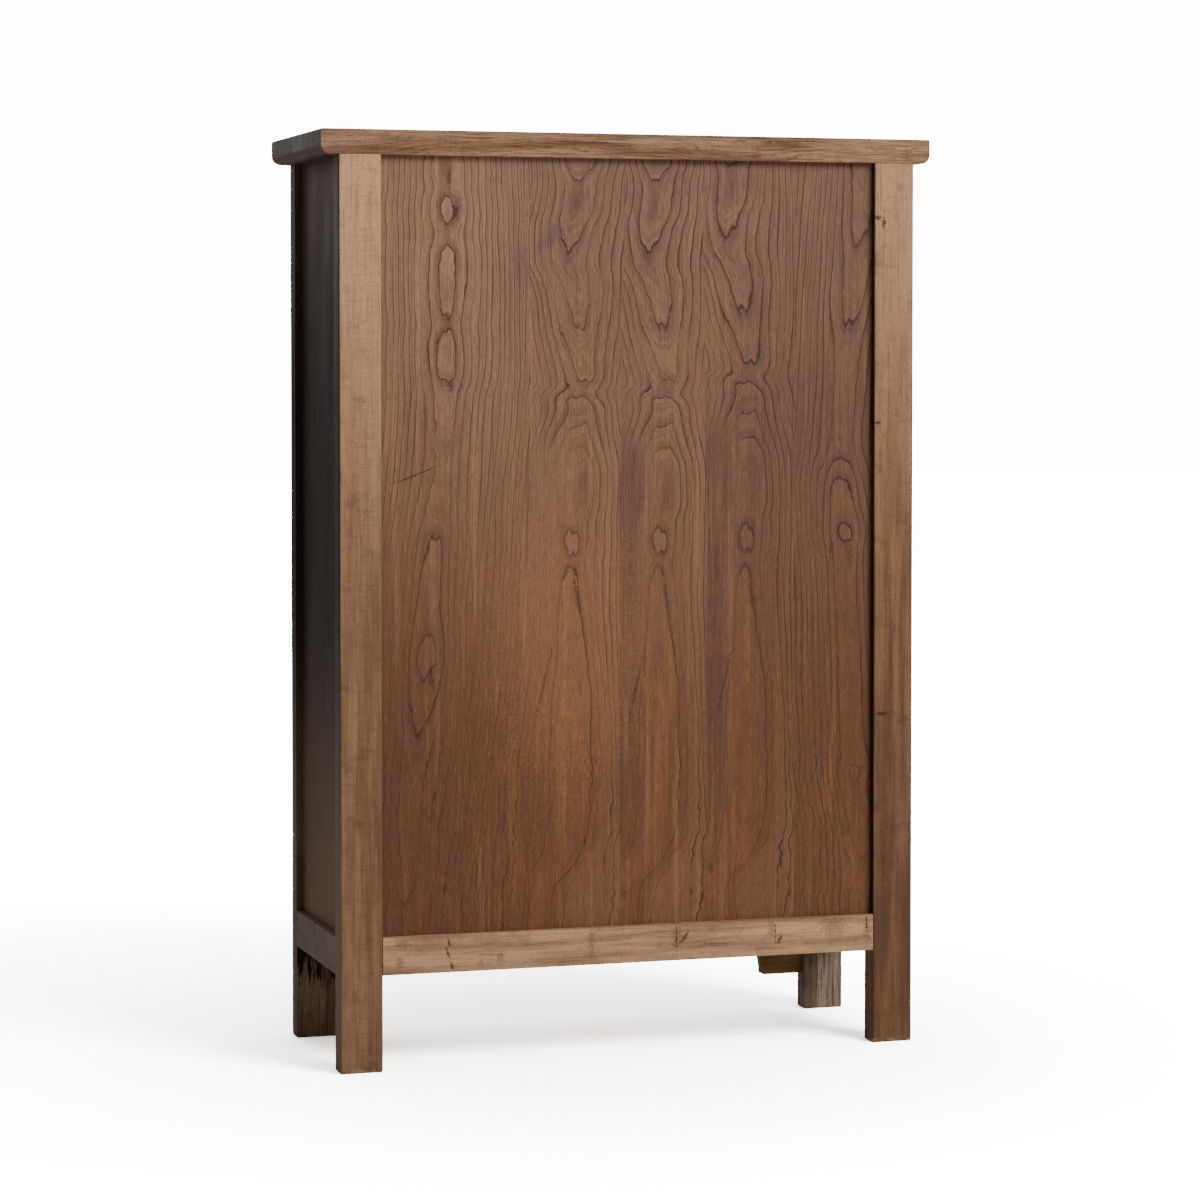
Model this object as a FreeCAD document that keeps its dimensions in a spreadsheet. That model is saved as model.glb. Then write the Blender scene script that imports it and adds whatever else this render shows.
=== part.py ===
import FreeCAD
import Part
import math
import os
import Sketcher

# A tall two-door cabinet of northern Chinese make, in millimetres.
# Frame: +Z up, the doors face -Y, the wide veneered back faces +Y, +X is the right-hand side of
# a person who faces the doors. The origin is on the floor under the middle of the top.

SIZES = {
    # overall, over the top
    "total_width": 1100,
    "total_depth": 400,
    "total_height": 1600,
    # the framed top
    "top_thickness": 43,
    "top_rail_width": 90,
    "side_overhang": 30,
    "front_overhang": 14,
    "under_round": 16,
    "top_arris": 3,
    "top_panel_thickness": 18,
    "top_tongue_thickness": 8,
    "batten_width": 38,
    "batten_rise": 2,
    "batten_shoulder": 5,
    "batten_tenon": 10,
    # legs
    "leg_width": 74,
    "leg_depth": 40,
    "leg_arris": 4,
    "foot_round": 3.5,
    "leg_tenon_length": 20,
    "leg_tenon_width": 30,
    "leg_tenon_thickness": 16,
    "leg_tenon_inset": 14,
    # bottom rails
    "rail_bottom": 165,
    "rail_height": 64,
    "rail_thickness": 30,
    "rail_arris": 2,
    "tenon_thickness": 12,
    "tenon_shoulder": 10,
    "long_tenon": 36,
    "short_tenon": 24,
    # floating panels of the back and the sides
    "back_recess": 15,
    "back_thickness": 10,
    "side_recess": 12,
    "side_thickness": 12,
    "groove_depth": 8,
    "tongue_setback": 4,
    # floor and shelves
    "board_thickness": 14,
    "rebate_width": 8,
    "lower_shelf_top": 640,
    "upper_shelf_top": 1080,
    "shelf_rail_height": 34,
    "shelf_rail_inward": 10,
    "shelf_tenon_thickness": 7,
    "shelf_tenon_shoulder": 5,
    "shelf_tenon_length": 20,
    "brace_thickness": 24,
    "brace_tenon_length": 12,
    # apron and spandrels under the front rail
    "apron_height": 44,
    "apron_thickness": 20,
    "apron_set_back": 4,
    "apron_tongue": 8,
    "apron_tongue_thickness": 10,
    "apron_bead": 5,
    "spandrel_drop": 55,
    "spandrel_foot": 79,
    "spandrel_corner": 5,
    "spandrel_lean": 3,
    "spandrel_upright": 11,
    "spandrel_curl": 12,
    "spandrel_step": 6,
    # doors
    "door_thickness": 22,
    "door_stile_width": 52,
    "door_rail_width": 52,
    "door_middle_rail_width": 44,
    "door_middle_height": 610,
    "door_panel_thickness": 9,
    "door_panel_recess": 6,
    "door_tenon_thickness": 6,
    "door_tenon_length": 30,
    "door_arris": 2,
    # pivots, turned on the ends of each outer stile
    "pivot_radius": 8,
    "upper_pivot_length": 20,
    "lower_pivot_length": 10,
    # removable post between the doors
    "post_width": 40,
    "stop_reach": 12,
    "stop_thickness": 6,
    "post_tongue_width": 24,
    "post_tongue_thickness": 8,
    "post_tongue_length": 9,
    "post_lift": 10,
    # brass
    "plate_radius": 105,
    "plate_thickness": 1.5,
    "plate_height": 905,
    "plate_border": 1.5,
    "ring_outer_radius": 5.4,
    "ring_inner_radius": 3.6,
    "ring_width": 2.6,
    "shank_radius": 2,
    "shank_overhang": 1.5,
    "pull_x": 60,
    "staple_x": 36,
    "staple_rise": 30,
    "pull_thickness": 2.6,
    "pull_eye_radius": 4.4,
    "pull_hole_radius": 2.1,
    "pull_length": 86,
    "pull_width": 40,
    "pull_shoulder": 26,
    "pull_tip": 10,
    "pull_waist": 4,
    # clearances
    "wood_fit": 0.15,
    "panel_play": 1.5,
    "board_gap": 0.5,
    "door_gap": 1.5,
    "pivot_fit": 0.08,
    "slide_fit": 0.5,
    "pin_fit": 0.1,
    "socket_spare": 2,
    # how far a cut runs past the face that it opens
    "overrun": 1,
    # ends of edges nearer than this are at one place
    "same_place": 0.001,
}

doc = FreeCAD.newDocument("Cabinet")


class Size:
    """A length that knows its value now and the formula that ties it to the sheet."""

    def __init__(self, value, text):
        self.value = value
        self.text = text

    def joined(self, sign, other, value):
        return Size(value, f"({self.text} {sign} {as_size(other).text})")

    def __add__(self, other):
        return self.joined("+", other, self.value + as_size(other).value)

    def __sub__(self, other):
        return self.joined("-", other, self.value - as_size(other).value)

    def __mul__(self, other):
        return self.joined("*", other, self.value * as_size(other).value)

    def __rmul__(self, other):
        return self * other

    def __truediv__(self, other):
        return self.joined("/", other, self.value / as_size(other).value)

    def __neg__(self):
        return Size(-self.value, f"(-1 * {self.text})")


def as_size(number):
    return number if isinstance(number, Size) else Size(number, str(number))


def make_sheet():
    """Puts the driving sizes in a sheet and hands back one named Size for each."""
    sheet = doc.addObject("Spreadsheet::Sheet", "Sizes")
    for row, (name, value) in enumerate(SIZES.items(), start=1):
        sheet.set(f"A{row}", name)
        sheet.set(f"B{row}", str(value))
        sheet.setAlias(f"B{row}", name)
    doc.recompute()
    return {name: Size(float(sheet.get(name)), f"Sizes.{name}") for name in SIZES}


S = make_sheet()
ZERO = Size(0, "0")

# The origin plane that is square to a direction, and the two directions in it
PLANES = {"z": ("XY_Plane", "x", "y"), "y": ("XZ_Plane", "x", "z"), "x": ("YZ_Plane", "y", "z")}


def axis_numbers(direction):
    """Places of a plane's two directions, and of the direction square to it, in x, y, z."""
    _, first, second = PLANES[direction]
    return "xyz".index(first), "xyz".index(second), "xyz".index(direction)


def faces_back(direction):
    """The plane square to y faces -Y; the other two face along their direction."""
    return direction == "y"


def ordered(pair):
    low, high = (as_size(end) for end in pair)
    return (low, high) if low.value <= high.value else (high, low)


def arc_centre(start, end, radius, turn):
    """Centre of the short arc from start to end; turn is 1 to the left and -1 to the right."""
    run = (end[0] - start[0], end[1] - start[1])
    chord = math.hypot(*run)
    rise = math.sqrt(max(radius * radius - chord * chord / 4, 0)) * turn
    return (
        (start[0] + end[0]) / 2 - run[1] / chord * rise,
        (start[1] + end[1]) / 2 + run[0] / chord * rise,
    )


class Piece:
    """One piece: a body at its own reference point, drawn in the cabinet's frame."""

    def __init__(self, label, at):
        self.at = [as_size(value) for value in at]
        self.body = doc.addObject("PartDesign::Body", label)
        self.body.Label = label
        self.count = 0
        for axis, value in zip("xyz", self.at):
            self.body.setExpression(f"Placement.Base.{axis}", value.text)

    def name(self, kind):
        self.count += 1
        return f"{self.body.Name}_{kind}_{self.count}"

    def new_sketch(self, direction, level):
        role = PLANES[direction][0]
        plane = [item for item in self.body.Origin.OriginFeatures if item.Role == role][0]
        sketch = self.body.newObject("Sketcher::SketchObject", self.name("sketch"))
        sketch.AttachmentSupport = [(plane, "")]
        sketch.MapMode = "FlatFace"
        offset = level - self.at["xyz".index(direction)]
        if faces_back(direction):
            offset = -offset
        sketch.AttachmentOffset = FreeCAD.Placement(
            FreeCAD.Vector(0, 0, offset.value), FreeCAD.Rotation()
        )
        sketch.setExpression("AttachmentOffset.Base.z", offset.text)
        return sketch

    def fix(self, sketch, kind, *place):
        """Adds a dimension and ties it to its formula."""
        size = place[-1]
        index = sketch.addConstraint(Sketcher.Constraint(kind, *place[:-1], size.value))
        sketch.setExpression(f"Constraints[{index}]", size.text)

    def feature(self, sketch, length, cut):
        kind = "Pocket" if cut else "Pad"
        feature = self.body.newObject(f"PartDesign::{kind}", self.name(kind))
        feature.Profile = sketch
        feature.Reversed = cut
        feature.Length = length.value
        feature.setExpression("Length", length.text)
        sketch.Visibility = False
        return feature

    def outline(self, direction, points, span, cut=False):
        """Extrudes a closed outline. A point is (a, b) at the end of a line, or
        (a, b, radius, turn) at the end of an arc from the point before it."""
        first, second, _ = axis_numbers(direction)
        low, high = ordered(span)
        sketch = self.new_sketch(direction, high if faces_back(direction) else low)
        places = [(point[0] - self.at[first], point[1] - self.at[second]) for point in points]
        flat = [(a.value, b.value) for a, b in places]
        starts = []
        for index in range(len(points)):
            target = (index + 1) % len(points)
            start, end = flat[index], flat[target]
            if len(points[target]) == 2:
                sketch.addGeometry(
                    Part.LineSegment(FreeCAD.Vector(*start, 0), FreeCAD.Vector(*end, 0)), False
                )
                starts.append(1)
                continue
            radius, turn = as_size(points[target][2]), points[target][3]
            centre = arc_centre(start, end, radius.value, turn)
            circle = Part.Circle(FreeCAD.Vector(*centre, 0), FreeCAD.Vector(0, 0, 1), radius.value)
            ends = (start, end) if turn > 0 else (end, start)
            angles = [math.atan2(b - centre[1], a - centre[0]) for a, b in ends]
            sketch.addGeometry(Part.ArcOfCircle(circle, *angles), False)
            starts.append(1 if turn > 0 else 2)
        for index, start in enumerate(starts):
            before = index - 1 if index else len(starts) - 1
            sketch.addConstraint(
                Sketcher.Constraint("Coincident", before, 3 - starts[before], index, start)
            )
            self.fix(sketch, "DistanceX", index, start, places[index][0])
            self.fix(sketch, "DistanceY", index, start, places[index][1])
            target = points[(index + 1) % len(points)]
            if len(target) > 2:
                self.fix(sketch, "Radius", index, as_size(target[2]))
        return self.feature(sketch, high - low, cut)

    def block(self, x, y, z, cut=False):
        """A rectangular block, or a rectangular hole."""
        (x0, x1), (y0, y1) = ordered(x), ordered(y)
        return self.outline("z", [(x0, y0), (x1, y0), (x1, y1), (x0, y1)], z, cut)

    def round(self, direction, centre, radius, span, cut=False):
        """A cylinder, or a round hole."""
        first, second, _ = axis_numbers(direction)
        low, high = ordered(span)
        sketch = self.new_sketch(direction, high if faces_back(direction) else low)
        place = (centre[0] - self.at[first], centre[1] - self.at[second])
        middle = FreeCAD.Vector(place[0].value, place[1].value, 0)
        sketch.addGeometry(Part.Circle(middle, FreeCAD.Vector(0, 0, 1), radius.value), False)
        self.fix(sketch, "DistanceX", 0, 3, place[0])
        self.fix(sketch, "DistanceY", 0, 3, place[1])
        self.fix(sketch, "Radius", 0, radius)
        return self.feature(sketch, high - low, cut)

    def ease(self, radius, direction, places):
        """Fillets the straight edges that run in a direction through the places."""
        doc.recompute()
        first, second, axis = axis_numbers(direction)
        wanted = [
            ((a - self.at[first]).value, (b - self.at[second]).value) for a, b in places
        ]
        chosen = []
        for number, edge in enumerate(self.body.Tip.Shape.Edges, start=1):
            ends = [vertex.Point for vertex in edge.Vertexes]
            if len(ends) < 2 or abs(ends[0][axis] - ends[1][axis]) < S["overrun"].value:
                continue
            for a, b in wanted:
                apart = max(math.hypot(end[first] - a, end[second] - b) for end in ends)
                if apart < S["same_place"].value:
                    chosen.append(f"Edge{number}")
        return self.fillet(radius, chosen)

    def round_rim(self, radius, level):
        """Fillets every edge that lies at a height."""
        doc.recompute()
        height = (level - self.at[2]).value
        chosen = []
        for number, edge in enumerate(self.body.Tip.Shape.Edges, start=1):
            apart = max(abs(vertex.Point.z - height) for vertex in edge.Vertexes)
            if apart < S["same_place"].value:
                chosen.append(f"Edge{number}")
        return self.fillet(radius, chosen)

    def fillet(self, radius, edges):
        before = self.body.Tip
        feature = self.body.newObject("PartDesign::Fillet", self.name("Fillet"))
        feature.Base = (before, edges)
        feature.Radius = radius.value
        feature.setExpression("Radius", radius.text)
        return feature


# Places that several pieces share, all worked out from the driving sizes
half_width = S["total_width"] / 2
half_depth = S["total_depth"] / 2
top_under = S["total_height"] - S["top_thickness"]
leg_outer = half_width - S["side_overhang"]
leg_inner = leg_outer - S["leg_width"]
front_face = S["front_overhang"] - half_depth
back_face = half_depth
front_leg_inner = front_face + S["leg_depth"]
back_leg_inner = back_face - S["leg_depth"]
rail_top = S["rail_bottom"] + S["rail_height"]

side_panel_outer = leg_outer - S["side_recess"]
side_panel_inner = side_panel_outer - S["side_thickness"]
back_panel_outer = back_face - S["back_recess"]
back_panel_inner = back_panel_outer - S["back_thickness"]
groove_start = rail_top - S["groove_depth"]

top_inner_x = half_width - S["top_rail_width"]
top_inner_y = half_depth - S["top_rail_width"]
top_panel_under = S["total_height"] - S["top_panel_thickness"]
top_tongue_top = top_panel_under + S["top_tongue_thickness"]
# the side panels' upper tongues stop short of the mitres of the top
side_tongue_end = half_depth - (half_width - side_panel_inner) - S["tongue_setback"]
back_tongue_end = leg_inner - S["tongue_setback"]

plate_front = front_face - S["plate_thickness"]
door_back = front_face + S["door_thickness"]
door_middle = front_face + S["door_thickness"] / 2
door_outer = leg_inner - S["door_gap"]
door_inner = S["post_width"] / 2 + S["door_gap"]
door_bottom = rail_top + S["door_gap"]
door_top = top_under - S["door_gap"]
pivot_x = door_outer - S["door_thickness"] / 2

strip_front = door_back + S["slide_fit"]
post_back = strip_front + S["stop_thickness"]
shelf_rail_front = post_back + S["slide_fit"]
SHELVES = {"lower": S["lower_shelf_top"], "upper": S["upper_shelf_top"]}
SIDES = {"left": -1, "right": 1}

apron_front = front_face + S["apron_set_back"]
apron_back = apron_front + S["apron_thickness"]
apron_middle = apron_front + S["apron_thickness"] / 2
apron_bottom = S["rail_bottom"] - S["apron_height"]
spandrel_bottom = apron_bottom - S["spandrel_drop"]


def around(middle, thickness, fit=ZERO):
    """A span about a middle, opened by a fit on both sides."""
    return (middle - thickness / 2 - fit, middle + thickness / 2 + fit)


def widened(span, fit):
    low, high = ordered(span)
    return (low - fit, high + fit)


class Joint:
    """A rectangular tenon, and the mortise that takes it with a fit all round."""

    def __init__(self, x, y, z):
        self.spans = (x, y, z)

    def tenon(self, piece):
        piece.block(*self.spans)

    def mortise(self, piece):
        piece.block(*(widened(span, S["wood_fit"]) for span in self.spans), cut=True)


def leg_top_joint(side, row):
    inner = leg_inner + S["leg_tenon_inset"]
    middle = (front_face + front_leg_inner) / 2 if row == "front" else (back_face + back_leg_inner) / 2
    return Joint(
        (inner * side, (inner + S["leg_tenon_width"]) * side),
        around(middle, S["leg_tenon_thickness"]),
        (top_under, top_under + S["leg_tenon_length"]),
    )


def long_rail_middle(row):
    half = S["rail_thickness"] / 2
    return front_face + half if row == "front" else back_face - half


def long_rail_joint(side, row):
    return Joint(
        (leg_inner * side, (leg_inner + S["long_tenon"]) * side),
        around(long_rail_middle(row), S["tenon_thickness"]),
        (S["rail_bottom"] + S["tenon_shoulder"], rail_top - S["tenon_shoulder"] - S["groove_depth"]),
    )


def short_rail_joint(side, row):
    middle = (leg_outer - S["rail_thickness"] / 2) * side
    reach = S["short_tenon"]
    y = (front_leg_inner - reach, front_leg_inner) if row == "front" else (
        back_leg_inner, back_leg_inner + reach
    )
    return Joint(
        around(middle, S["tenon_thickness"]),
        y,
        (S["rail_bottom"] + S["tenon_shoulder"], rail_top - S["tenon_shoulder"] - S["groove_depth"]),
    )


def shelf_rail_span(row):
    """Front and back faces of the rails that carry the shelves."""
    if row == "front":
        return (shelf_rail_front, front_leg_inner + S["shelf_rail_inward"])
    return (back_leg_inner - S["shelf_rail_inward"], back_panel_inner - S["board_gap"])


def shelf_rail_joint(side, row, shelf_top):
    low, high = shelf_rail_span(row)
    edge = front_leg_inner if row == "front" else back_leg_inner
    middle = (low + edge) / 2 if row == "front" else (edge + high) / 2
    under = shelf_top - S["board_thickness"]
    return Joint(
        (leg_inner * side, (leg_inner + S["shelf_tenon_length"]) * side),
        around(middle, S["shelf_tenon_thickness"]),
        (under - S["shelf_rail_height"] + S["shelf_tenon_shoulder"], under - S["shelf_tenon_shoulder"]),
    )


def brace_span(side):
    outer = side_panel_inner - S["board_gap"]
    return ((outer - S["brace_thickness"]) * side, outer * side)


def brace_joint(side, row, shelf_top):
    low, high = brace_span(side)
    under = shelf_top - S["board_thickness"]
    y = (front_leg_inner - S["brace_tenon_length"], front_leg_inner) if row == "front" else (
        back_leg_inner, back_leg_inner + S["brace_tenon_length"]
    )
    return Joint(
        around((low + high) / 2, S["shelf_tenon_thickness"]),
        y,
        (under - S["shelf_rail_height"] + S["shelf_tenon_shoulder"], under - S["shelf_tenon_shoulder"]),
    )


def apron_joint(side, low, high):
    return Joint(
        (leg_inner * side, (leg_inner + S["apron_tongue"]) * side),
        around(apron_middle, S["apron_tongue_thickness"]),
        (low, high),
    )


def leg(side_name, row):
    """A leg: eased corners, a tenon for the top, grooves for the panels and the mortises."""
    side = SIDES[side_name]
    front = row == "front"
    outer_y, inner_y = (front_face, front_leg_inner) if front else (back_face, back_leg_inner)
    piece = Piece(f"leg_{row}_{side_name}", (leg_outer * side, outer_y, ZERO))
    piece.block((leg_inner * side, leg_outer * side), (outer_y, inner_y), (ZERO, top_under))
    piece.ease(S["leg_arris"], "z", [(leg_outer * side, outer_y), (leg_inner * side, outer_y)])
    piece.round_rim(S["foot_round"], ZERO)
    leg_top_joint(side, row).tenon(piece)
    inward = front_leg_inner if front else back_leg_inner
    deeper = inward - S["groove_depth"] if front else inward + S["groove_depth"]
    past = inward + S["overrun"] if front else inward - S["overrun"]
    groove_span = (groove_start - S["panel_play"], top_under + S["overrun"])
    piece.block(
        widened((side_panel_inner * side, side_panel_outer * side), S["wood_fit"]),
        (deeper, past), groove_span, cut=True,
    )
    if not front:
        piece.block(
            ((leg_inner - S["overrun"]) * side, (leg_inner + S["groove_depth"]) * side),
            widened((back_panel_inner, back_panel_outer), S["wood_fit"]),
            groove_span, cut=True,
        )
    long_rail_joint(side, row).mortise(piece)
    short_rail_joint(side, row).mortise(piece)
    for shelf_top in SHELVES.values():
        shelf_rail_joint(side, row, shelf_top).mortise(piece)
        brace_joint(side, row, shelf_top).mortise(piece)
    if front:
        apron_joint(side, spandrel_bottom, S["rail_bottom"]).mortise(piece)
    return piece


def top_edge_outline(outer, inner, sign, rounded):
    """Section of a rail of the top; sign says which way its outer edge faces."""
    under, upper = top_under, S["total_height"]
    drop = S["under_round"] if rounded else S["top_arris"] / 2
    arris = S["top_arris"]
    return [
        (inner, under),
        (outer - drop * sign, under),
        (outer, under + drop, drop, sign),
        (outer, upper - arris),
        (outer - arris * sign, upper, arris, sign),
        (inner, upper),
    ]


def round_end_under(piece, side):
    """Carries the round under an end of the top on through the back rail."""
    outer, under = half_width * side, top_under
    drop, far = S["under_round"], S["overrun"]
    points = [
        (outer - drop * side, under),
        (outer, under + drop, drop, side),
        (outer + far * side, under + drop),
        (outer + far * side, under - far),
        (outer - drop * side, under - far),
    ]
    piece.outline("y", points, (-half_depth - far, half_depth + far), cut=True)


def cut_mitre(piece, x_sign, y_sign, keep):
    """Cuts one corner of a rail of the top along its mitre; keep is the rail's own direction."""
    corner = (half_width * x_sign, half_depth * y_sign)
    inner = (top_inner_x * x_sign, top_inner_y * y_sign)
    far = S["overrun"]
    # the cut runs on past both ends of the mitre, along it
    start = (corner[0] + far * x_sign, corner[1] + far * y_sign)
    end = (inner[0] - far * x_sign, inner[1] - far * y_sign)
    waste = (start[0], end[1]) if keep == "x" else (end[0], start[1])
    piece.outline("z", [start, end, waste], (top_under - far, S["total_height"] + far), cut=True)


def top_panel_groove(piece, x, y):
    piece.block(x, y, (top_panel_under - S["wood_fit"], top_tongue_top + S["wood_fit"]), cut=True)


def batten_middles():
    """The battens under the top panel stand at a third of its length from each other."""
    third = top_inner_x * 2 / 3
    return [third / 2 * side for side in SIDES.values()]


def batten_joint(middle, row):
    y = top_inner_y * (-1 if row == "front" else 1)
    reach = S["batten_tenon"] * (-1 if row == "front" else 1)
    return Joint(
        around(middle, S["batten_width"]),
        (y, y + reach),
        (top_under + S["batten_shoulder"], top_panel_under - S["batten_shoulder"]),
    )


def top_long_rail(row):
    """Front or back rail of the top, mitred to the end rails."""
    sign = -1 if row == "front" else 1
    outer, inner = half_depth * sign, top_inner_y * sign
    piece = Piece(f"top_rail_{row}", (ZERO, outer, S["total_height"]))
    piece.outline(
        "x", top_edge_outline(outer, inner, sign, row == "front"), (-half_width, half_width)
    )
    for side in SIDES.values():
        cut_mitre(piece, side, sign, "x")
    reach = top_inner_x + S["groove_depth"] + S["panel_play"]
    top_panel_groove(
        piece, (-reach, reach),
        (inner - S["overrun"] * sign, inner + (S["groove_depth"] + S["panel_play"]) * sign),
    )
    for middle in batten_middles():
        batten_joint(middle, row).mortise(piece)
    for side in SIDES.values():
        leg_top_joint(side, row).mortise(piece)
    if row == "front":
        for side in SIDES.values():
            piece.round(
                "z", (pivot_x * side, door_middle), S["pivot_radius"] + S["pivot_fit"],
                (top_under - S["overrun"], door_top + S["upper_pivot_length"] + S["socket_spare"]),
                cut=True,
            )
        post_slot(piece, top_under, 1)
    else:
        for side in SIDES.values():
            round_end_under(piece, side)
        piece.block(
            widened((-back_tongue_end, back_tongue_end), S["wood_fit"]),
            widened((back_panel_inner, back_panel_outer), S["wood_fit"]),
            (top_under - S["overrun"], top_under + S["groove_depth"] + S["wood_fit"]), cut=True,
        )
    return piece


def top_end_rail(side_name):
    """End rail of the top, mitred, with its lower outer edge rounded under."""
    side = SIDES[side_name]
    outer, inner = half_width * side, top_inner_x * side
    piece = Piece(f"top_rail_{side_name}", (outer, ZERO, S["total_height"]))
    piece.outline("y", top_edge_outline(outer, inner, side, True), (-half_depth, half_depth))
    for y_sign in (-1, 1):
        cut_mitre(piece, side, y_sign, "y")
    reach = top_inner_y + S["groove_depth"] + S["panel_play"]
    top_panel_groove(
        piece, (inner - S["overrun"] * side, inner + (S["groove_depth"] + S["panel_play"]) * side),
        (-reach, reach),
    )
    piece.block(
        widened((side_panel_inner * side, side_panel_outer * side), S["wood_fit"]),
        widened((-side_tongue_end, side_tongue_end), S["wood_fit"]),
        (top_under - S["overrun"], top_under + S["groove_depth"] + S["wood_fit"]), cut=True,
    )
    return piece


def top_panel():
    """Floating panel of the top, flush above, with a tongue all round."""
    piece = Piece("top_panel", (ZERO, ZERO, S["total_height"]))
    x, y = top_inner_x - S["wood_fit"], top_inner_y - S["wood_fit"]
    piece.block((-x, x), (-y, y), (top_panel_under, S["total_height"]))
    x, y = top_inner_x + S["groove_depth"], top_inner_y + S["groove_depth"]
    piece.block((-x, x), (-y, y), (top_panel_under, top_tongue_top))
    return piece


def top_batten(number, middle):
    """Batten that keeps the top panel flat, tenoned into the long rails."""
    piece = Piece(f"top_batten_{number}", (middle, ZERO, top_panel_under))
    piece.block(
        around(middle, S["batten_width"]),
        (-top_inner_y, top_inner_y),
        (top_under + S["batten_rise"], top_panel_under),
    )
    for row in ("front", "back"):
        batten_joint(middle, row).tenon(piece)
    return piece


def bottom_long_rail(row):
    """Front or back bottom rail: tenoned ends, a rebate for the floor, and the back panel's
    groove or the door's pivot sockets."""
    outer = front_face if row == "front" else back_face
    inward = 1 if row == "front" else -1
    inner = outer + S["rail_thickness"] * inward
    piece = Piece(f"bottom_rail_{row}", (ZERO, outer, S["rail_bottom"]))
    piece.block((-leg_inner, leg_inner), (outer, inner), (S["rail_bottom"], rail_top))
    piece.ease(S["rail_arris"], "x", [(outer, S["rail_bottom"])])
    for side in SIDES.values():
        long_rail_joint(side, row).tenon(piece)
    piece.block(
        widened((-leg_inner, leg_inner), S["overrun"]),
        (inner - S["rebate_width"] * inward, inner + S["overrun"] * inward),
        (rail_top - S["board_thickness"], rail_top + S["overrun"]), cut=True,
    )
    if row == "back":
        piece.block(
            widened((-leg_inner, leg_inner), S["overrun"]),
            widened((back_panel_inner, back_panel_outer), S["wood_fit"]),
            (groove_start - S["wood_fit"], rail_top + S["overrun"]), cut=True,
        )
        return piece
    for side in SIDES.values():
        piece.round(
            "z", (pivot_x * side, door_middle), S["pivot_radius"] + S["pivot_fit"],
            (door_bottom - S["lower_pivot_length"] - S["wood_fit"], rail_top + S["overrun"]), cut=True,
        )
    post_slot(piece, rail_top, -1)
    return piece


def bottom_side_rail(side_name):
    """Side bottom rail, with the groove for the side panel's lower edge."""
    side = SIDES[side_name]
    piece = Piece(f"bottom_rail_{side_name}", (leg_outer * side, ZERO, S["rail_bottom"]))
    piece.block(
        ((leg_outer - S["rail_thickness"]) * side, leg_outer * side),
        (front_leg_inner, back_leg_inner), (S["rail_bottom"], rail_top),
    )
    piece.ease(S["rail_arris"], "y", [(leg_outer * side, S["rail_bottom"])])
    for row in ("front", "back"):
        short_rail_joint(side, row).tenon(piece)
    piece.block(
        widened((side_panel_inner * side, side_panel_outer * side), S["wood_fit"]),
        widened((front_leg_inner, back_leg_inner), S["overrun"]),
        (groove_start - S["wood_fit"], rail_top + S["overrun"]), cut=True,
    )
    return piece


def back_panel():
    """One wide panel, in the grooves of the back legs, the back rail and the top."""
    half = leg_inner + S["groove_depth"] - S["panel_play"]
    piece = Piece("back_panel", (ZERO, back_panel_outer, rail_top))
    span = (back_panel_inner, back_panel_outer)
    piece.block((-half, half), span, (groove_start, top_under))
    piece.block((-back_tongue_end, back_tongue_end), span, (top_under, top_under + S["groove_depth"]))
    return piece


def side_panel(side_name):
    """Side panel, in the grooves of two legs, a side rail and the end of the top."""
    side = SIDES[side_name]
    span = (side_panel_inner * side, side_panel_outer * side)
    play = S["groove_depth"] - S["panel_play"]
    piece = Piece(f"side_panel_{side_name}", (side_panel_outer * side, ZERO, rail_top))
    piece.block(span, (front_leg_inner - play, back_leg_inner + play), (groove_start, top_under))
    piece.block(
        span, (-side_tongue_end, side_tongue_end), (top_under, top_under + S["groove_depth"])
    )
    return piece


def shelf_rail(name, row, shelf_top):
    """Long rail under a shelf, tenoned into two legs."""
    low, high = shelf_rail_span(row)
    under = shelf_top - S["board_thickness"]
    piece = Piece(f"{name}_shelf_rail_{row}", (ZERO, low, under))
    piece.block((-leg_inner, leg_inner), (low, high), (under - S["shelf_rail_height"], under))
    for side in SIDES.values():
        shelf_rail_joint(side, row, shelf_top).tenon(piece)
    return piece


def side_brace(name, side_name, shelf_top):
    """Short brace inside a side panel, under a shelf's end."""
    side = SIDES[side_name]
    under = shelf_top - S["board_thickness"]
    piece = Piece(f"{name}_brace_{side_name}", (side_panel_inner * side, ZERO, under))
    piece.block(
        brace_span(side), (front_leg_inner, back_leg_inner), (under - S["shelf_rail_height"], under)
    )
    for row in ("front", "back"):
        brace_joint(side, row, shelf_top).tenon(piece)
    return piece


def deck_board(label, left, right, ends, front, back, level):
    """A board that runs from front to back. It is notched round two legs at each of the ends,
    left and right, that it forms."""
    piece = Piece(label, ((left + right) / 2, ZERO, level))
    gap = S["board_gap"]
    slim = leg_inner - gap
    low_y, high_y = front_leg_inner + gap, back_leg_inner - gap
    span = (level - S["board_thickness"], level)
    at_left, at_right = ends
    points = []
    if at_left:
        points += [(left, low_y), (-slim, low_y), (-slim, front)]
    else:
        points += [(left, front)]
    if at_right:
        points += [(slim, front), (slim, low_y), (right, low_y)]
        points += [(right, high_y), (slim, high_y), (slim, back)]
    else:
        points += [(right, front), (right, back)]
    if at_left:
        points += [(-slim, back), (-slim, high_y), (left, high_y)]
    else:
        points += [(left, back)]
    piece.outline("z", points, span)
    return piece


def deck(prefix, names, half_reach, front, back, level):
    """Boards side by side, each with a gap to the next."""
    pitch = half_reach * 2 / len(names)
    pieces = []
    for index, name in enumerate(names):
        left = pitch * index - half_reach
        right = left + pitch
        if index:
            left = left + S["board_gap"]
        ends = (index == 0, index == len(names) - 1)
        pieces.append(deck_board(f"{prefix}_board_{name}", left, right, ends, front, back, level))
    return pieces


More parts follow.
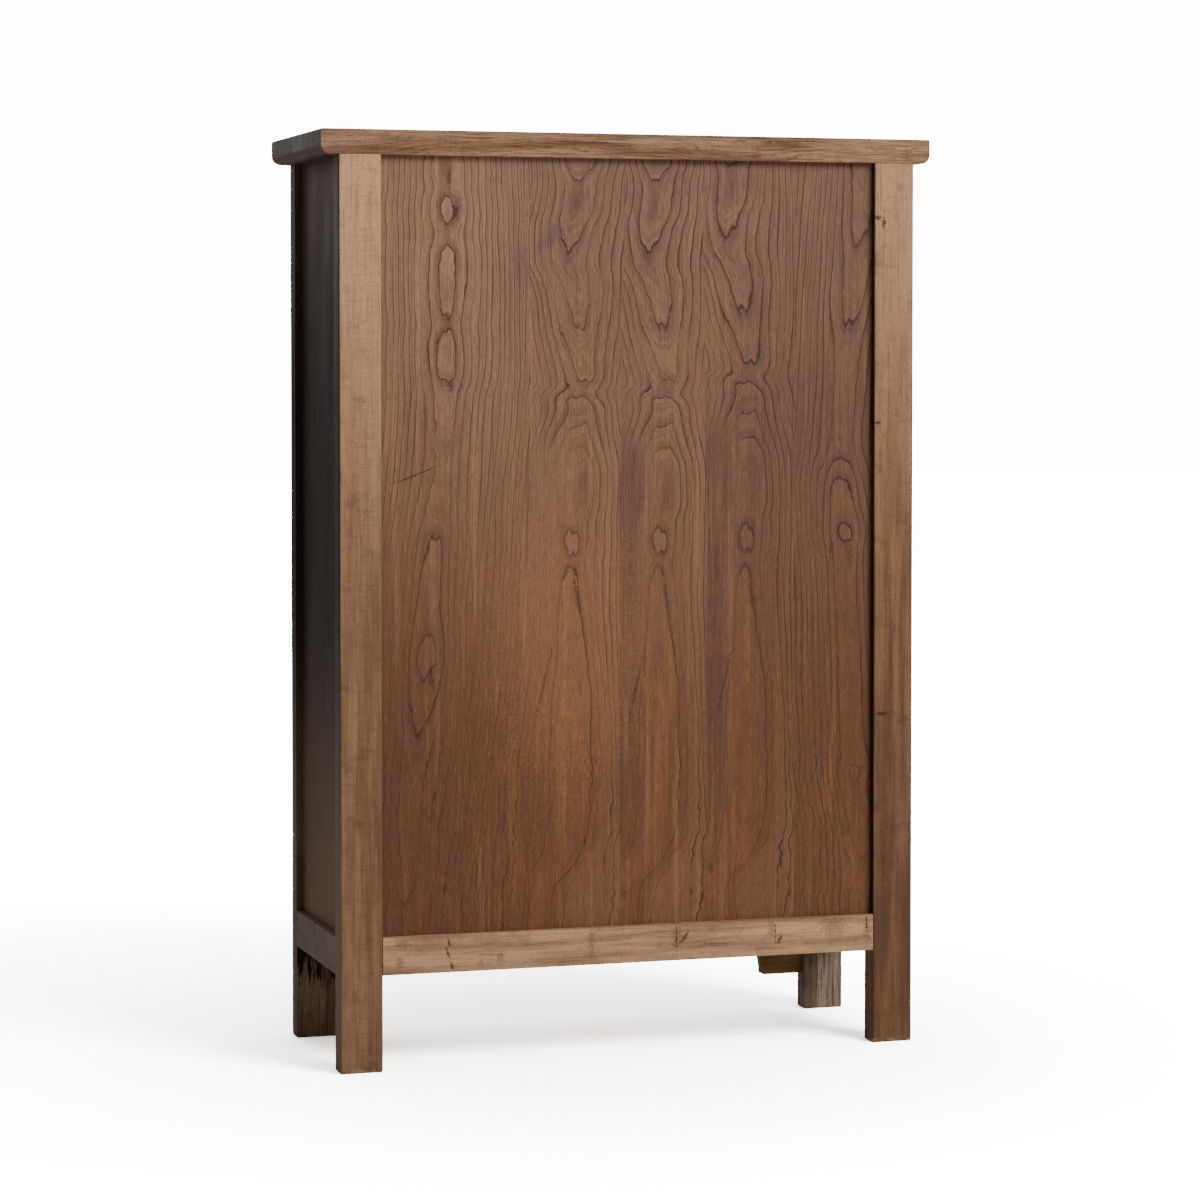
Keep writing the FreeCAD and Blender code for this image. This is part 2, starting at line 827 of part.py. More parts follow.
def apron():
    """Board under the front rail, its lower edge rounded to a bead."""
    piece = Piece("apron_front", (ZERO, apron_front, S["rail_bottom"]))
    piece.block((-leg_inner, leg_inner), (apron_front, apron_back), (apron_bottom, S["rail_bottom"]))
    piece.ease(S["apron_bead"], "x", [(apron_front, apron_bottom)])
    for side in SIDES.values():
        apron_joint(side, apron_bottom, S["rail_bottom"]).tenon(piece)
    return piece


def spandrel(side_name):
    """Bracket under the apron beside a leg: a flat foot, then an upright that curls into the
    apron in two quarter rounds with a step between them."""
    side = SIDES[side_name]
    piece = Piece(f"spandrel_{side_name}", (leg_inner * side, apron_front, apron_bottom))
    foot, corner, curl = S["spandrel_foot"], S["spandrel_corner"], S["spandrel_curl"]
    bottom = spandrel_bottom
    upper_curl = apron_bottom - curl
    lower_curl = upper_curl - curl
    step = S["spandrel_step"]
    lean = foot + S["spandrel_lean"]

    def x(reach):
        return (leg_inner - reach) * side

    points = [
        (x(ZERO), bottom),
        (x(foot - corner), bottom),
        (x(foot), bottom + corner, corner, -side),
        (x(foot), bottom + S["spandrel_upright"]),
        (x(lean), lower_curl),
        (x(lean + curl), upper_curl, curl, side),
        (x(lean + curl + step), upper_curl),
        (x(lean + curl * 2 + step), apron_bottom, curl, side),
        (x(ZERO), apron_bottom),
    ]
    piece.outline("y", points, (apron_front, apron_back))
    apron_joint(side, spandrel_bottom, apron_bottom).tenon(piece)
    return piece


def post_slot(piece, face, up):
    """Slot for a tongue of the post: as deep as the tongue, and above also as deep as the lift."""
    depth = S["post_tongue_length"] + S["slide_fit"]
    if up > 0:
        depth = depth + S["post_lift"]
    fit = S["slide_fit"]
    piece.block(
        around(ZERO, S["post_tongue_width"], fit),
        around(door_middle, S["post_tongue_thickness"], fit),
        (face - S["overrun"] * up, face + depth * up), cut=True,
    )


def post():
    """Removable post between the doors. It lifts into the deep slot above, which frees its
    foot."""
    piece = Piece("centre_post", (ZERO, front_face, rail_top))
    low, high = rail_top + S["slide_fit"], top_under - S["post_lift"] - S["slide_fit"]
    half = S["post_width"] / 2
    piece.block((-half, half), (front_face, strip_front), (low, high))
    piece.ease(S["door_arris"], "z", [(-half, front_face), (half, front_face)])
    tongue_x = around(ZERO, S["post_tongue_width"])
    tongue_y = around(door_middle, S["post_tongue_thickness"])
    piece.block(tongue_x, tongue_y, (rail_top - S["post_tongue_length"], low))
    piece.block(tongue_x, tongue_y, (high, top_under + S["post_tongue_length"]))
    shank_hole(piece, ZERO, staple_height, post_back)
    return piece


def post_stop_strip():
    """Strip on the post's back, wider than the post, which the doors shut against."""
    half = S["post_width"] / 2 + S["stop_reach"]
    low, high = rail_top + S["slide_fit"], top_under - S["post_lift"] - S["slide_fit"]
    piece = Piece("post_stop_strip", (ZERO, strip_front, low))
    piece.block((-half, half), (strip_front, post_back), (low, high))
    shank_hole(piece, ZERO, staple_height, post_back)
    return piece


def shank_hole(piece, x, z, back):
    piece.round(
        "y", (x, z), S["shank_radius"] + S["pin_fit"],
        (plate_front - S["overrun"], back + S["overrun"]), cut=True,
    )


door_panel_front = front_face + S["door_panel_recess"]
door_panel_back = door_panel_front + S["door_panel_thickness"]
stile_inner_edge = door_inner + S["door_stile_width"]
stile_outer_edge = door_outer - S["door_stile_width"]
staple_height = S["plate_height"] + S["staple_rise"]
DOOR_RAILS = {
    "bottom": (door_bottom, door_bottom + S["door_rail_width"]),
    "middle": around(S["door_middle_height"], S["door_middle_rail_width"]),
    "top": (door_top - S["door_rail_width"], door_top),
}


def door_rail_joint(side, edge, reach, rail):
    """Tenon of a door rail in a door stile."""
    low, high = rail
    inset = S["groove_depth"]
    return Joint(
        (edge * side, (edge + reach) * side),
        around((door_panel_front + door_panel_back) / 2, S["door_tenon_thickness"]),
        (low + inset, high - inset),
    )


def panel_groove(piece, x, z):
    piece.block(x, widened((door_panel_front, door_panel_back), S["wood_fit"]), z, cut=True)


def door_stile(side_name, place):
    """Outer stile with a round edge about its pivots, or inner stile beside the post."""
    side = SIDES[side_name]
    outer = place == "outer"
    near, far = (stile_outer_edge, door_outer) if outer else (stile_inner_edge, door_inner)
    piece = Piece(f"door_{side_name}_{place}_stile", (far * side, front_face, door_bottom))
    span = (door_bottom, door_top)
    if outer:
        round_radius = S["door_thickness"] / 2
        points = [
            (near * side, front_face),
            (pivot_x * side, front_face),
            (door_outer * side, door_middle, round_radius, side),
            (pivot_x * side, door_back, round_radius, side),
            (near * side, door_back),
        ]
        piece.outline("z", points, span)
        centre = (pivot_x * side, door_middle)
        piece.round("z", centre, S["pivot_radius"], (door_bottom - S["lower_pivot_length"], door_bottom))
        piece.round("z", centre, S["pivot_radius"], (door_top, door_top + S["upper_pivot_length"]))
        into, reach = near, S["door_tenon_length"]
        groove = (near - S["overrun"], near + S["groove_depth"])
    else:
        piece.block((near * side, far * side), (front_face, door_back), span)
        piece.ease(S["door_arris"], "z", [(far * side, front_face)])
        into, reach = near, -S["door_tenon_length"]
        groove = (near + S["overrun"], near - S["groove_depth"])
        for x, z in ((S["pull_x"], S["plate_height"]), (S["staple_x"], staple_height)):
            shank_hole(piece, x * side, z, door_back)
    for rail in DOOR_RAILS.values():
        door_rail_joint(side, into, reach, rail).mortise(piece)
    for low, high in (("bottom", "middle"), ("middle", "top")):
        panel_groove(
            piece, (groove[0] * side, groove[1] * side),
            (DOOR_RAILS[low][1] - S["groove_depth"], DOOR_RAILS[high][0] + S["groove_depth"]),
        )
    return piece


def door_rail(side_name, place):
    """Rail of a door, tenoned into both stiles, with a groove for each panel beside it."""
    side = SIDES[side_name]
    low, high = DOOR_RAILS[place]
    piece = Piece(f"door_{side_name}_{place}_rail", (stile_inner_edge * side, front_face, low))
    piece.block((stile_inner_edge * side, stile_outer_edge * side), (front_face, door_back), (low, high))
    door_rail_joint(side, stile_outer_edge, S["door_tenon_length"], (low, high)).tenon(piece)
    door_rail_joint(side, stile_inner_edge, -S["door_tenon_length"], (low, high)).tenon(piece)
    x = (stile_inner_edge * side, stile_outer_edge * side)
    if place != "bottom":
        panel_groove(piece, x, (low - S["overrun"], low + S["groove_depth"]))
    if place != "top":
        panel_groove(piece, x, (high - S["groove_depth"], high + S["overrun"]))
    return piece


def door_panel(side_name, place):
    """Floating panel of a door."""
    side = SIDES[side_name]
    below, above = ("bottom", "middle") if place == "lower" else ("middle", "top")
    play = S["groove_depth"] - S["panel_play"]
    low = DOOR_RAILS[below][1] - S["groove_depth"] + S["wood_fit"]
    high = DOOR_RAILS[above][0] + play
    piece = Piece(f"door_{side_name}_{place}_panel", (stile_inner_edge * side, door_panel_front, low))
    piece.block(
        ((stile_inner_edge - play) * side, (stile_outer_edge + play) * side),
        (door_panel_front, door_panel_back), (low, high),
    )
    return piece


ring_centre_y = plate_front - S["ring_outer_radius"]
ring_middle_radius = (S["ring_outer_radius"] + S["ring_inner_radius"]) / 2


def chord_height(x):
    """Half the height of the round plate at a distance from its middle."""
    radius = S["plate_radius"]
    value = math.sqrt(radius.value ** 2 - x.value ** 2)
    return Size(value, f"sqrt({radius.text} ^ 2 - {x.text} ^ 2)")


def door_plate(side_name):
    """A door's part of the round face plate."""
    side = SIDES[side_name]
    edge = door_inner + S["plate_border"]
    piece = Piece(f"face_plate_{side_name}", (edge * side, front_face, S["plate_height"]))
    rise = chord_height(edge)
    points = [
        (edge * side, S["plate_height"] - rise),
        (S["plate_radius"] * side, S["plate_height"], S["plate_radius"], side),
        (edge * side, S["plate_height"] + rise, S["plate_radius"], side),
    ]
    piece.outline("y", points, (plate_front, front_face))
    for x, z in ((S["pull_x"], S["plate_height"]), (S["staple_x"], staple_height)):
        shank_hole(piece, x * side, z, front_face)
    return piece


def centre_plate():
    """The post's strip of the round face plate."""
    half = S["post_width"] / 2 - S["plate_border"] - S["door_arris"]
    piece = Piece("face_plate_centre", (ZERO, front_face, S["plate_height"]))
    rise = chord_height(half)
    low, high = S["plate_height"] - rise, S["plate_height"] + rise
    radius = S["plate_radius"]
    points = [(-half, low), (half, low, radius, 1), (half, high), (-half, high, radius, 1)]
    piece.outline("y", points, (plate_front, front_face))
    shank_hole(piece, ZERO, staple_height, front_face)
    return piece


def ringed_pin(label, x, z, back):
    """A split pin: a ring that stands out of the plate, and a shank that goes through the wood."""
    piece = Piece(label, (x, plate_front, z))
    centre = (ring_centre_y, z)
    span = around(x, S["ring_width"])
    piece.round("x", centre, S["ring_outer_radius"], span)
    piece.round("y", (x, z), S["shank_radius"], (ring_centre_y, back + S["shank_overhang"]))
    piece.round("x", centre, S["ring_inner_radius"], widened(span, S["shank_radius"]), cut=True)
    return piece.body


def pins(label, places, back):
    """The split pins of one door or of the post, as one group of separate solids."""
    made = [ringed_pin(f"{label}_{number}", x, z, back) for number, (x, z) in enumerate(places, start=1)]
    group = doc.addObject("Part::Compound", label)
    group.Label = label
    group.Links = made
    return group


def pull(side_name):
    """Drop pull: a leaf-shaped plate that hangs in its ring by a round eye."""
    side = SIDES[side_name]
    x = S["pull_x"] * side
    hole = S["plate_height"] - ring_middle_radius
    eye, waist = S["pull_eye_radius"], S["pull_waist"]
    bottom = hole - S["pull_length"]
    wide = S["pull_width"] / 2
    broad = bottom + S["pull_shoulder"]
    neck = hole - eye
    tip = S["pull_tip"] / 2
    piece = Piece(f"pull_{side_name}", (x, ring_centre_y, hole))
    points = [
        (x - tip, bottom, S["pull_shoulder"], 1),
        (x + tip, bottom),
        (x + wide, broad, S["pull_shoulder"], 1),
        (x + waist, neck, S["pull_length"], 1),
        (x + waist, hole),
        (x - waist, hole),
        (x - waist, neck),
        (x - wide, broad, S["pull_length"], 1),
    ]
    span = around(ring_centre_y, S["pull_thickness"])
    piece.outline("y", points, span)
    piece.round("y", (x, hole), eye, span)
    piece.round("y", (x, hole), S["pull_hole_radius"], widened(span, S["overrun"]), cut=True)
    return piece


def build():
    """Every sub-part of the cabinet, by its label."""
    pieces = []
    for side_name in SIDES:
        pieces += [leg(side_name, row) for row in ("front", "back")]
        pieces += [top_end_rail(side_name), bottom_side_rail(side_name), side_panel(side_name)]
        pieces += [spandrel(side_name)]
        pieces += [door_stile(side_name, place) for place in ("outer", "inner")]
        pieces += [door_rail(side_name, place) for place in DOOR_RAILS]
        pieces += [door_panel(side_name, place) for place in ("lower", "upper")]
        pieces += [door_plate(side_name), pull(side_name)]
    for row in ("front", "back"):
        pieces += [top_long_rail(row), bottom_long_rail(row)]
    pieces += [top_panel(), back_panel(), apron(), post(), post_stop_strip(), centre_plate()]
    pieces += [top_batten(number, middle) for number, middle in enumerate(batten_middles(), start=1)]
    for name, shelf_top in SHELVES.items():
        pieces += [shelf_rail(name, row, shelf_top) for row in ("front", "back")]
        pieces += [side_brace(name, side_name, shelf_top) for side_name in SIDES]
        pieces += deck(
            f"{name}_shelf", list(SIDES), side_panel_inner - S["board_gap"],
            shelf_rail_front, back_panel_inner - S["board_gap"], shelf_top,
        )
    inner_front = front_face + S["rail_thickness"] - S["rebate_width"] + S["board_gap"]
    inner_back = back_panel_inner - S["board_gap"]
    floor_reach = leg_outer - S["rail_thickness"] - S["board_gap"]
    pieces += deck("floor", ["left", "middle", "right"], floor_reach, inner_front, inner_back, rail_top)
    subparts = [piece.body for piece in pieces]
    for side_name, side in SIDES.items():
        places = [(S["pull_x"] * side, S["plate_height"]), (S["staple_x"] * side, staple_height)]
        subparts.append(pins(f"door_pins_{side_name}", places, door_back))
    subparts.append(pins("post_pin", [(ZERO, staple_height)], post_back))
    return subparts


def check(subparts):
    """Stops the build if any object failed or any sub-part has no sound shape."""
    for item in doc.Objects:
        bad = [state for state in item.State if state in ("Invalid", "Error")]
        if bad:
            raise RuntimeError(f"{item.Name}: {bad}")
    for item in subparts:
        if item.Shape.isNull() or not item.Shape.isValid() or not item.Shape.Solids:
            raise RuntimeError(f"{item.Label}: no sound shape")


def write(subparts):
    os.makedirs("parts", exist_ok=True)
    for item in subparts:
        item.Shape.exportStep(f"parts/{item.Label}.step")
        box = item.Shape.BoundBox
        print(
            f"{item.Label}: {len(item.Shape.Solids)} solid(s), "
            f"x {box.XMin:.1f} {box.XMax:.1f}, y {box.YMin:.1f} {box.YMax:.1f}, "
            f"z {box.ZMin:.1f} {box.ZMax:.1f}"
        )
    print(len(subparts), "sub-parts")


subparts = build()
doc.recompute()
check(subparts)
write(subparts)
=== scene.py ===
import math

import bpy
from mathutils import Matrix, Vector

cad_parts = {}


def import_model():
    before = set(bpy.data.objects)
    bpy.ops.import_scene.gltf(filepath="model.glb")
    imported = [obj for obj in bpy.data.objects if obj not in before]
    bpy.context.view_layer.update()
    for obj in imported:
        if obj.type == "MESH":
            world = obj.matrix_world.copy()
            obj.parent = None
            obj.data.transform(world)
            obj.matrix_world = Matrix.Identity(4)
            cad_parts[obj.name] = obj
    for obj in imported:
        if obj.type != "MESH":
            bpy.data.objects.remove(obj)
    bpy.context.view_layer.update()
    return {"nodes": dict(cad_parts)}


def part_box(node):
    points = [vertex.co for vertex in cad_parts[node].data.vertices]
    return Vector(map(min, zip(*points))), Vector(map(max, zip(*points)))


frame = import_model()

MM_PER_M = 1000.0


def linear(code):
    """Linear colour of an sRGB hex code."""
    shown = [int(code[start:start + 2], 16) / 255 for start in (0, 2, 4)]
    light = [v / 12.92 if v <= 0.04045 else ((v + 0.055) / 1.055) ** 2.4 for v in shown]
    return (*light, 1.0)


class Nodes:
    """A node tree, built with one call for each node."""

    def __init__(self, tree):
        self.tree = tree

    def add(self, kind, *values, **settings):
        """Adds a node with its settings, and gives its sockets values or links in their order."""
        node = self.tree.nodes.new("ShaderNode" + kind)
        for name, value in settings.items():
            setattr(node, name, value)
        for socket, value in zip([socket for socket in node.inputs if socket.enabled], values):
            self.put(socket, value)
        return node

    def put(self, socket, value):
        """Gives a socket a value, or a link from a socket or from a node's first output."""
        if isinstance(value, bpy.types.Node):
            value = next(out for out in value.outputs if out.enabled)
        if isinstance(value, bpy.types.NodeSocket):
            self.tree.links.new(value, socket)
        elif value is not None:
            socket.default_value = value


# Depth of the relief in mm, where it is deepest
WOOD_RELIEF, VENEER_RELIEF, HAMMERED_RELIEF = 0.25, 0.06, 0.3
# Specular levels: bare wood and satin varnish, black lacquer, and wood rubbed by hands
BARE_SHINE, LACQUER_SHINE, RUBBED_SHINE = 0.3, 0.08, 0.2
SATIN_IOR = 1.48
# How much of a patch's fine detail shows
PATCH_DETAIL = 0.6
# A spot is solid out to this share of its size and gone at 1, with notches this wide in its edge
SPOT_SOLID, SPOT_NOTCH = 0.3, (5, 5, 5)


class Finish(Nodes):
    """A material that knows the place on its piece in mm."""

    def __init__(self, name):
        self.material = bpy.data.materials.new(name)
        self.material.use_nodes = True
        super().__init__(self.material.node_tree)
        metres = self.add("TexCoord").outputs["Object"]
        self.place = self.add("VectorMath", metres, (MM_PER_M,) * 3, operation="MULTIPLY")
        self.x, self.y, self.z = self.add("SeparateXYZ", self.place).outputs

    def patches(self, size, start, end, most=1.0, place=None, detail=3.0):
        """Soft-edged patches about as long as size, in mm, that rise from 0 to most as the noise
        goes from start to end."""
        scale = tuple(1 / length for length in size)
        scaled = self.add("VectorMath", place or self.place, scale, operation="MULTIPLY")
        noise = self.add("TexNoise", scaled, 1.0, detail, PATCH_DETAIL)
        return self.add("MapRange", noise, start, end, 0.0, most, interpolation_type="SMOOTHSTEP")

    def spot(self, x, z, wide, high, lean=0.0, ragged=0.9):
        """Where a soft oval mark is, at a place on a face that looks along y, in mm. It leans
        sideways by a share of its height, and its edge is ragged by a share of its width."""
        off = self.add("VectorMath", self.place, (x, 0.0, z), operation="SUBTRACT")
        aside = self.add("VectorMath", off, (1 / wide, 0.0, -lean / wide), operation="DOT_PRODUCT")
        up = self.add("VectorMath", off, (0.0, 0.0, 1 / high), operation="DOT_PRODUCT")
        far = self.add("CombineXYZ", aside.outputs["Value"], up.outputs["Value"])
        far = self.add("VectorMath", far, operation="LENGTH").outputs["Value"]
        far = self.add("Math", far, self.patches(SPOT_NOTCH, 0.3, 0.7, ragged), operation="ADD")
        ends = (1.0 + ragged / 2, SPOT_SOLID + ragged / 2)
        return self.add("MapRange", far, *ends, interpolation_type="SMOOTHSTEP")

    def spots(self, places):
        """Where any of several such marks is."""
        where = self.spot(*places[0])
        for place in places[1:]:
            where = self.add("Math", where, self.spot(*place), operation="MAXIMUM")
        return where

    def stained(self, base, *stains):
        """A base colour with stains laid over it in turn: each a colour, where it shows, and
        its strength where that isn't 1."""
        for code, where, *strength in stains:
            if strength:
                where = self.add("Math", where, *strength, operation="MULTIPLY")
            base = self.add("Mix", where, base, linear(code), data_type="RGBA")
        return base

    def surface(self, colour, rough, height, depth_mm, **fixed):
        """Ends the material: colour, roughness, a relief as deep as given, and fixed values."""
        shader = self.tree.nodes["Principled BSDF"]
        bump = self.add("Bump", 1.0, depth_mm / MM_PER_M, None, height)
        links = {"Base Color": colour, "Roughness": rough, "Normal": bump}
        for name, value in {**links, **fixed}.items():
            self.put(shader.inputs[name.replace("_", " ")], value)
        return self.material


# The veneer's figure. It was cut near the pith of a log, so each growth line shows where the log's
# radius reaches it: the radius is the distance from the leaf's middle line and from the pith,
# whose depth under the surface changes with the height. All of it in mm.
# Left and right are as seen from behind, with +X at the left.
# Width of a middle leaf, low down and at the top, and the height where it starts to narrow
LEAF_PITCH, LEAF_PITCH_TOP, LEAF_PITCH_FROM = 160.0, 137.0, 950.0
LEAF_MIDDLE = -59.5
LEFT_SEAM, RIGHT_SEAM = 181.5, -303.0
# How much higher the figure stands on the middle leaf at -X, and between which heights it grows
SET_HIGHER, SET_HIGHER_FROM, SET_HIGHER_TO = 27.0, 870.0, 1180.0
# The left leaf's middle line, which leans below a height
LEFT_MIDDLE, LEFT_LEAN, LEFT_LEAN_TOP = 327.0, 0.086, 1180.0
# Growth lines stand further apart near the pith, inside this radius
RING_INNER, RING_OUTER, RING_CHANGE = 12.0, 9.5, 36.0
# How far the growth lines wander from side to side: slowly, gently, in small notches, and low down
WAVER, BEND, JAG, RIPPLE = 10.0, 3.6, 1.3, 9.0
RIPPLE_FROM, RIPPLE_ALL = 750.0, 400.0
# Past this place on a leaf's -X side its lines stay straight where the others sweep aside
STRAIGHT_FROM, SWAY_ALL = -62.0, 27.0
# A leaf's lines sway not at all at the first of these places across it, and fully at the second
SWAY_NONE, SWAY_FULL = -78.0, -14.0
# The range that the curves below can hold
CURVE_HEIGHT, CURVE_DEPTH, CURVE_SWAY = 1600.0, 80.0, 90.0
RIGHT_SWAY_LEAST, RIGHT_SWAY_MOST = -450.0, -350.0
# Depth of the pith at each height, and how far the leaf's middle line sways aside
MIDDLE_DEPTH = [
    (226, 10), (357, 6), (480, 6), (567, 9), (611, 12), (637, 16), (672, 24), (707, 27),
    (794, 32), (829, 34), (860, 36), (865, 36.8), (869, 36), (881, 34.4), (898, 33.6),
    (914, 34.6), (926, 36), (940, 37.5), (968, 37), (1020, 38), (1046, 42), (1060, 46),
    (1081, 51), (1100, 55.5), (1115, 58), (1133, 61), (1148, 65), (1160, 67), (1173, 65),
    (1200, 62), (1219, 61), (1261, 55.5), (1315, 51), (1349, 49), (1394, 46), (1436, 41.5),
    (1476, 37.5), (1505, 37.5), (1522, 36), (1540, 31), (1560, 27),
]
MIDDLE_SWAY = [
    (230, 83), (265, 81), (299, 72), (324, 51), (358, 28), (393, 15), (445, 9), (707, 10),
    (869, 8), (924, 6), (968, -6), (1020, -5), (1060, 1), (1100, -3), (1124, -6), (1148, 1),
    (1173, -15), (1219, -8), (1261, -1), (1315, 5), (1349, 14), (1394, 27), (1436, 25),
    (1475, 16), (1522, 12),
]
LEFT_DEPTH = [
    (229, 46), (400, 42), (540, 38.5), (577, 36), (600, 33), (650, 27), (674, 24), (690, 21),
    (705, 19.5), (720, 21), (739, 24), (780, 29), (850, 32), (895, 34), (921, 36), (945, 40),
    (1050, 44), (1150, 42), (1165, 38), (1178, 36), (1190, 34), (1215, 32.8), (1245, 34),
    (1260, 36), (1273, 37), (1286, 36), (1300, 34), (1345, 32.5), (1390, 34), (1404, 36),
    (1425, 38), (1442, 36), (1465, 33.5), (1489, 36), (1505, 38), (1530, 37), (1560, 39),
]
RIGHT_DEPTH = [
    (229, 42), (320, 38), (335, 36), (345, 32), (450, 26), (465, 24), (481, 21.5), (495, 24),
    (520, 27), (700, 29), (880, 26), (890, 24), (907, 21), (925, 24), (950, 29), (990, 33),
    (1005, 36), (1025, 42), (1100, 52), (1200, 51), (1255, 47.5), (1267, 46), (1290, 43.5),
    (1330, 40), (1400, 37), (1415, 36), (1435, 34), (1480, 31), (1580, 29),
]
RIGHT_SWAY = [
    (229, -425), (335, -429), (481, -417), (700, -402), (907, -397), (1005, -388), (1150, -396),
    (1267, -405), (1415, -420), (1580, -430),
]
# Marks on the veneer, each at a place x, z, as wide and high as given from its middle, with its
# lean and how ragged it is. Thin streaks of amber:
AMBER = [
    (212.0, 467.0, 15.0, 190.0, 0.0, 0.5), (127.0, 540.0, 13.0, 240.0, -0.02, 0.5),
    (-73.0, 655.0, 12.0, 85.0, 0.05, 0.5), (107.0, 980.0, 14.0, 70.0, 0.0, 0.6),
    (-214.0, 700.0, 12.0, 90.0, 0.0, 0.6),
]
# Ragged dark ends and hooks of growth lines:
TIPS = [
    (325.0, 1520.0, 5.0, 22.0, 0.0, 0.9), (322.0, 1166.0, 7.0, 18.0, 0.0, 0.9),
    (326.0, 1283.0, 4.0, 12.0, 0.0, 0.9), (357.0, 668.0, 5.0, 28.0, 0.1, 0.9),
    (97.0, 803.0, 5.0, 48.0, 0.19, 1.0), (-65.0, 795.0, 5.0, 48.0, 0.19, 1.0),
    (-221.0, 803.0, 5.0, 48.0, 0.19, 1.0), (13.0, 286.0, 6.0, 12.0, 0.0, 0.9),
    (158.0, 650.0, 3.6, 76.0, -0.235, 1.1), (-10.0, 642.0, 3.6, 76.0, -0.235, 1.1),
    (-172.0, 650.0, 3.6, 76.0, -0.235, 1.1), (-371.0, 880.0, 4.5, 26.0, 0.0, 1.1),
    (-407.0, 862.0, 5.0, 22.0, -0.1, 1.1), (-147.0, 322.0, 8.0, 13.0, 0.2, 1.1),
]
# Wide soft changes of tone, each with its colour and strength:
TONES = [
    ("b07349", (110.0, 730.0, 185.0, 330.0, 0.0, 0.4), 0.3),
    ("472d1f", (-330.0, 1110.0, 190.0, 170.0, 0.0, 0.4), 0.4),
    ("b88d6b", (340.0, 1430.0, 180.0, 260.0, 0.0, 0.4), 0.24),
    ("4f3527", (-390.0, 1440.0, 150.0, 220.0, 0.0, 0.4), 0.14),
]
# Plum shade where the surface runs along a growth ring:
PLUM = [
    (-371.0, 1500.0, 12.0, 70.0, 0.1, 0.8), (-386.0, 1390.0, 15.0, 90.0, 0.1, 0.8),
    (-415.0, 1258.0, 32.0, 12.0, 0.0, 0.8), (-432.0, 1440.0, 12.0, 60.0, 0.0, 0.8),
    (-140.0, 1512.0, 28.0, 10.0, 0.0, 0.8), (196.0, 1370.0, 26.0, 60.0, 0.1, 0.9),
]
SCRATCH = (385.0, 1015.0, 7.0, 19.0, -2.6, 0.8)
GREY_SMEAR = (146.0, 1420.0, 22.0, 42.0, -0.8, 0.8)


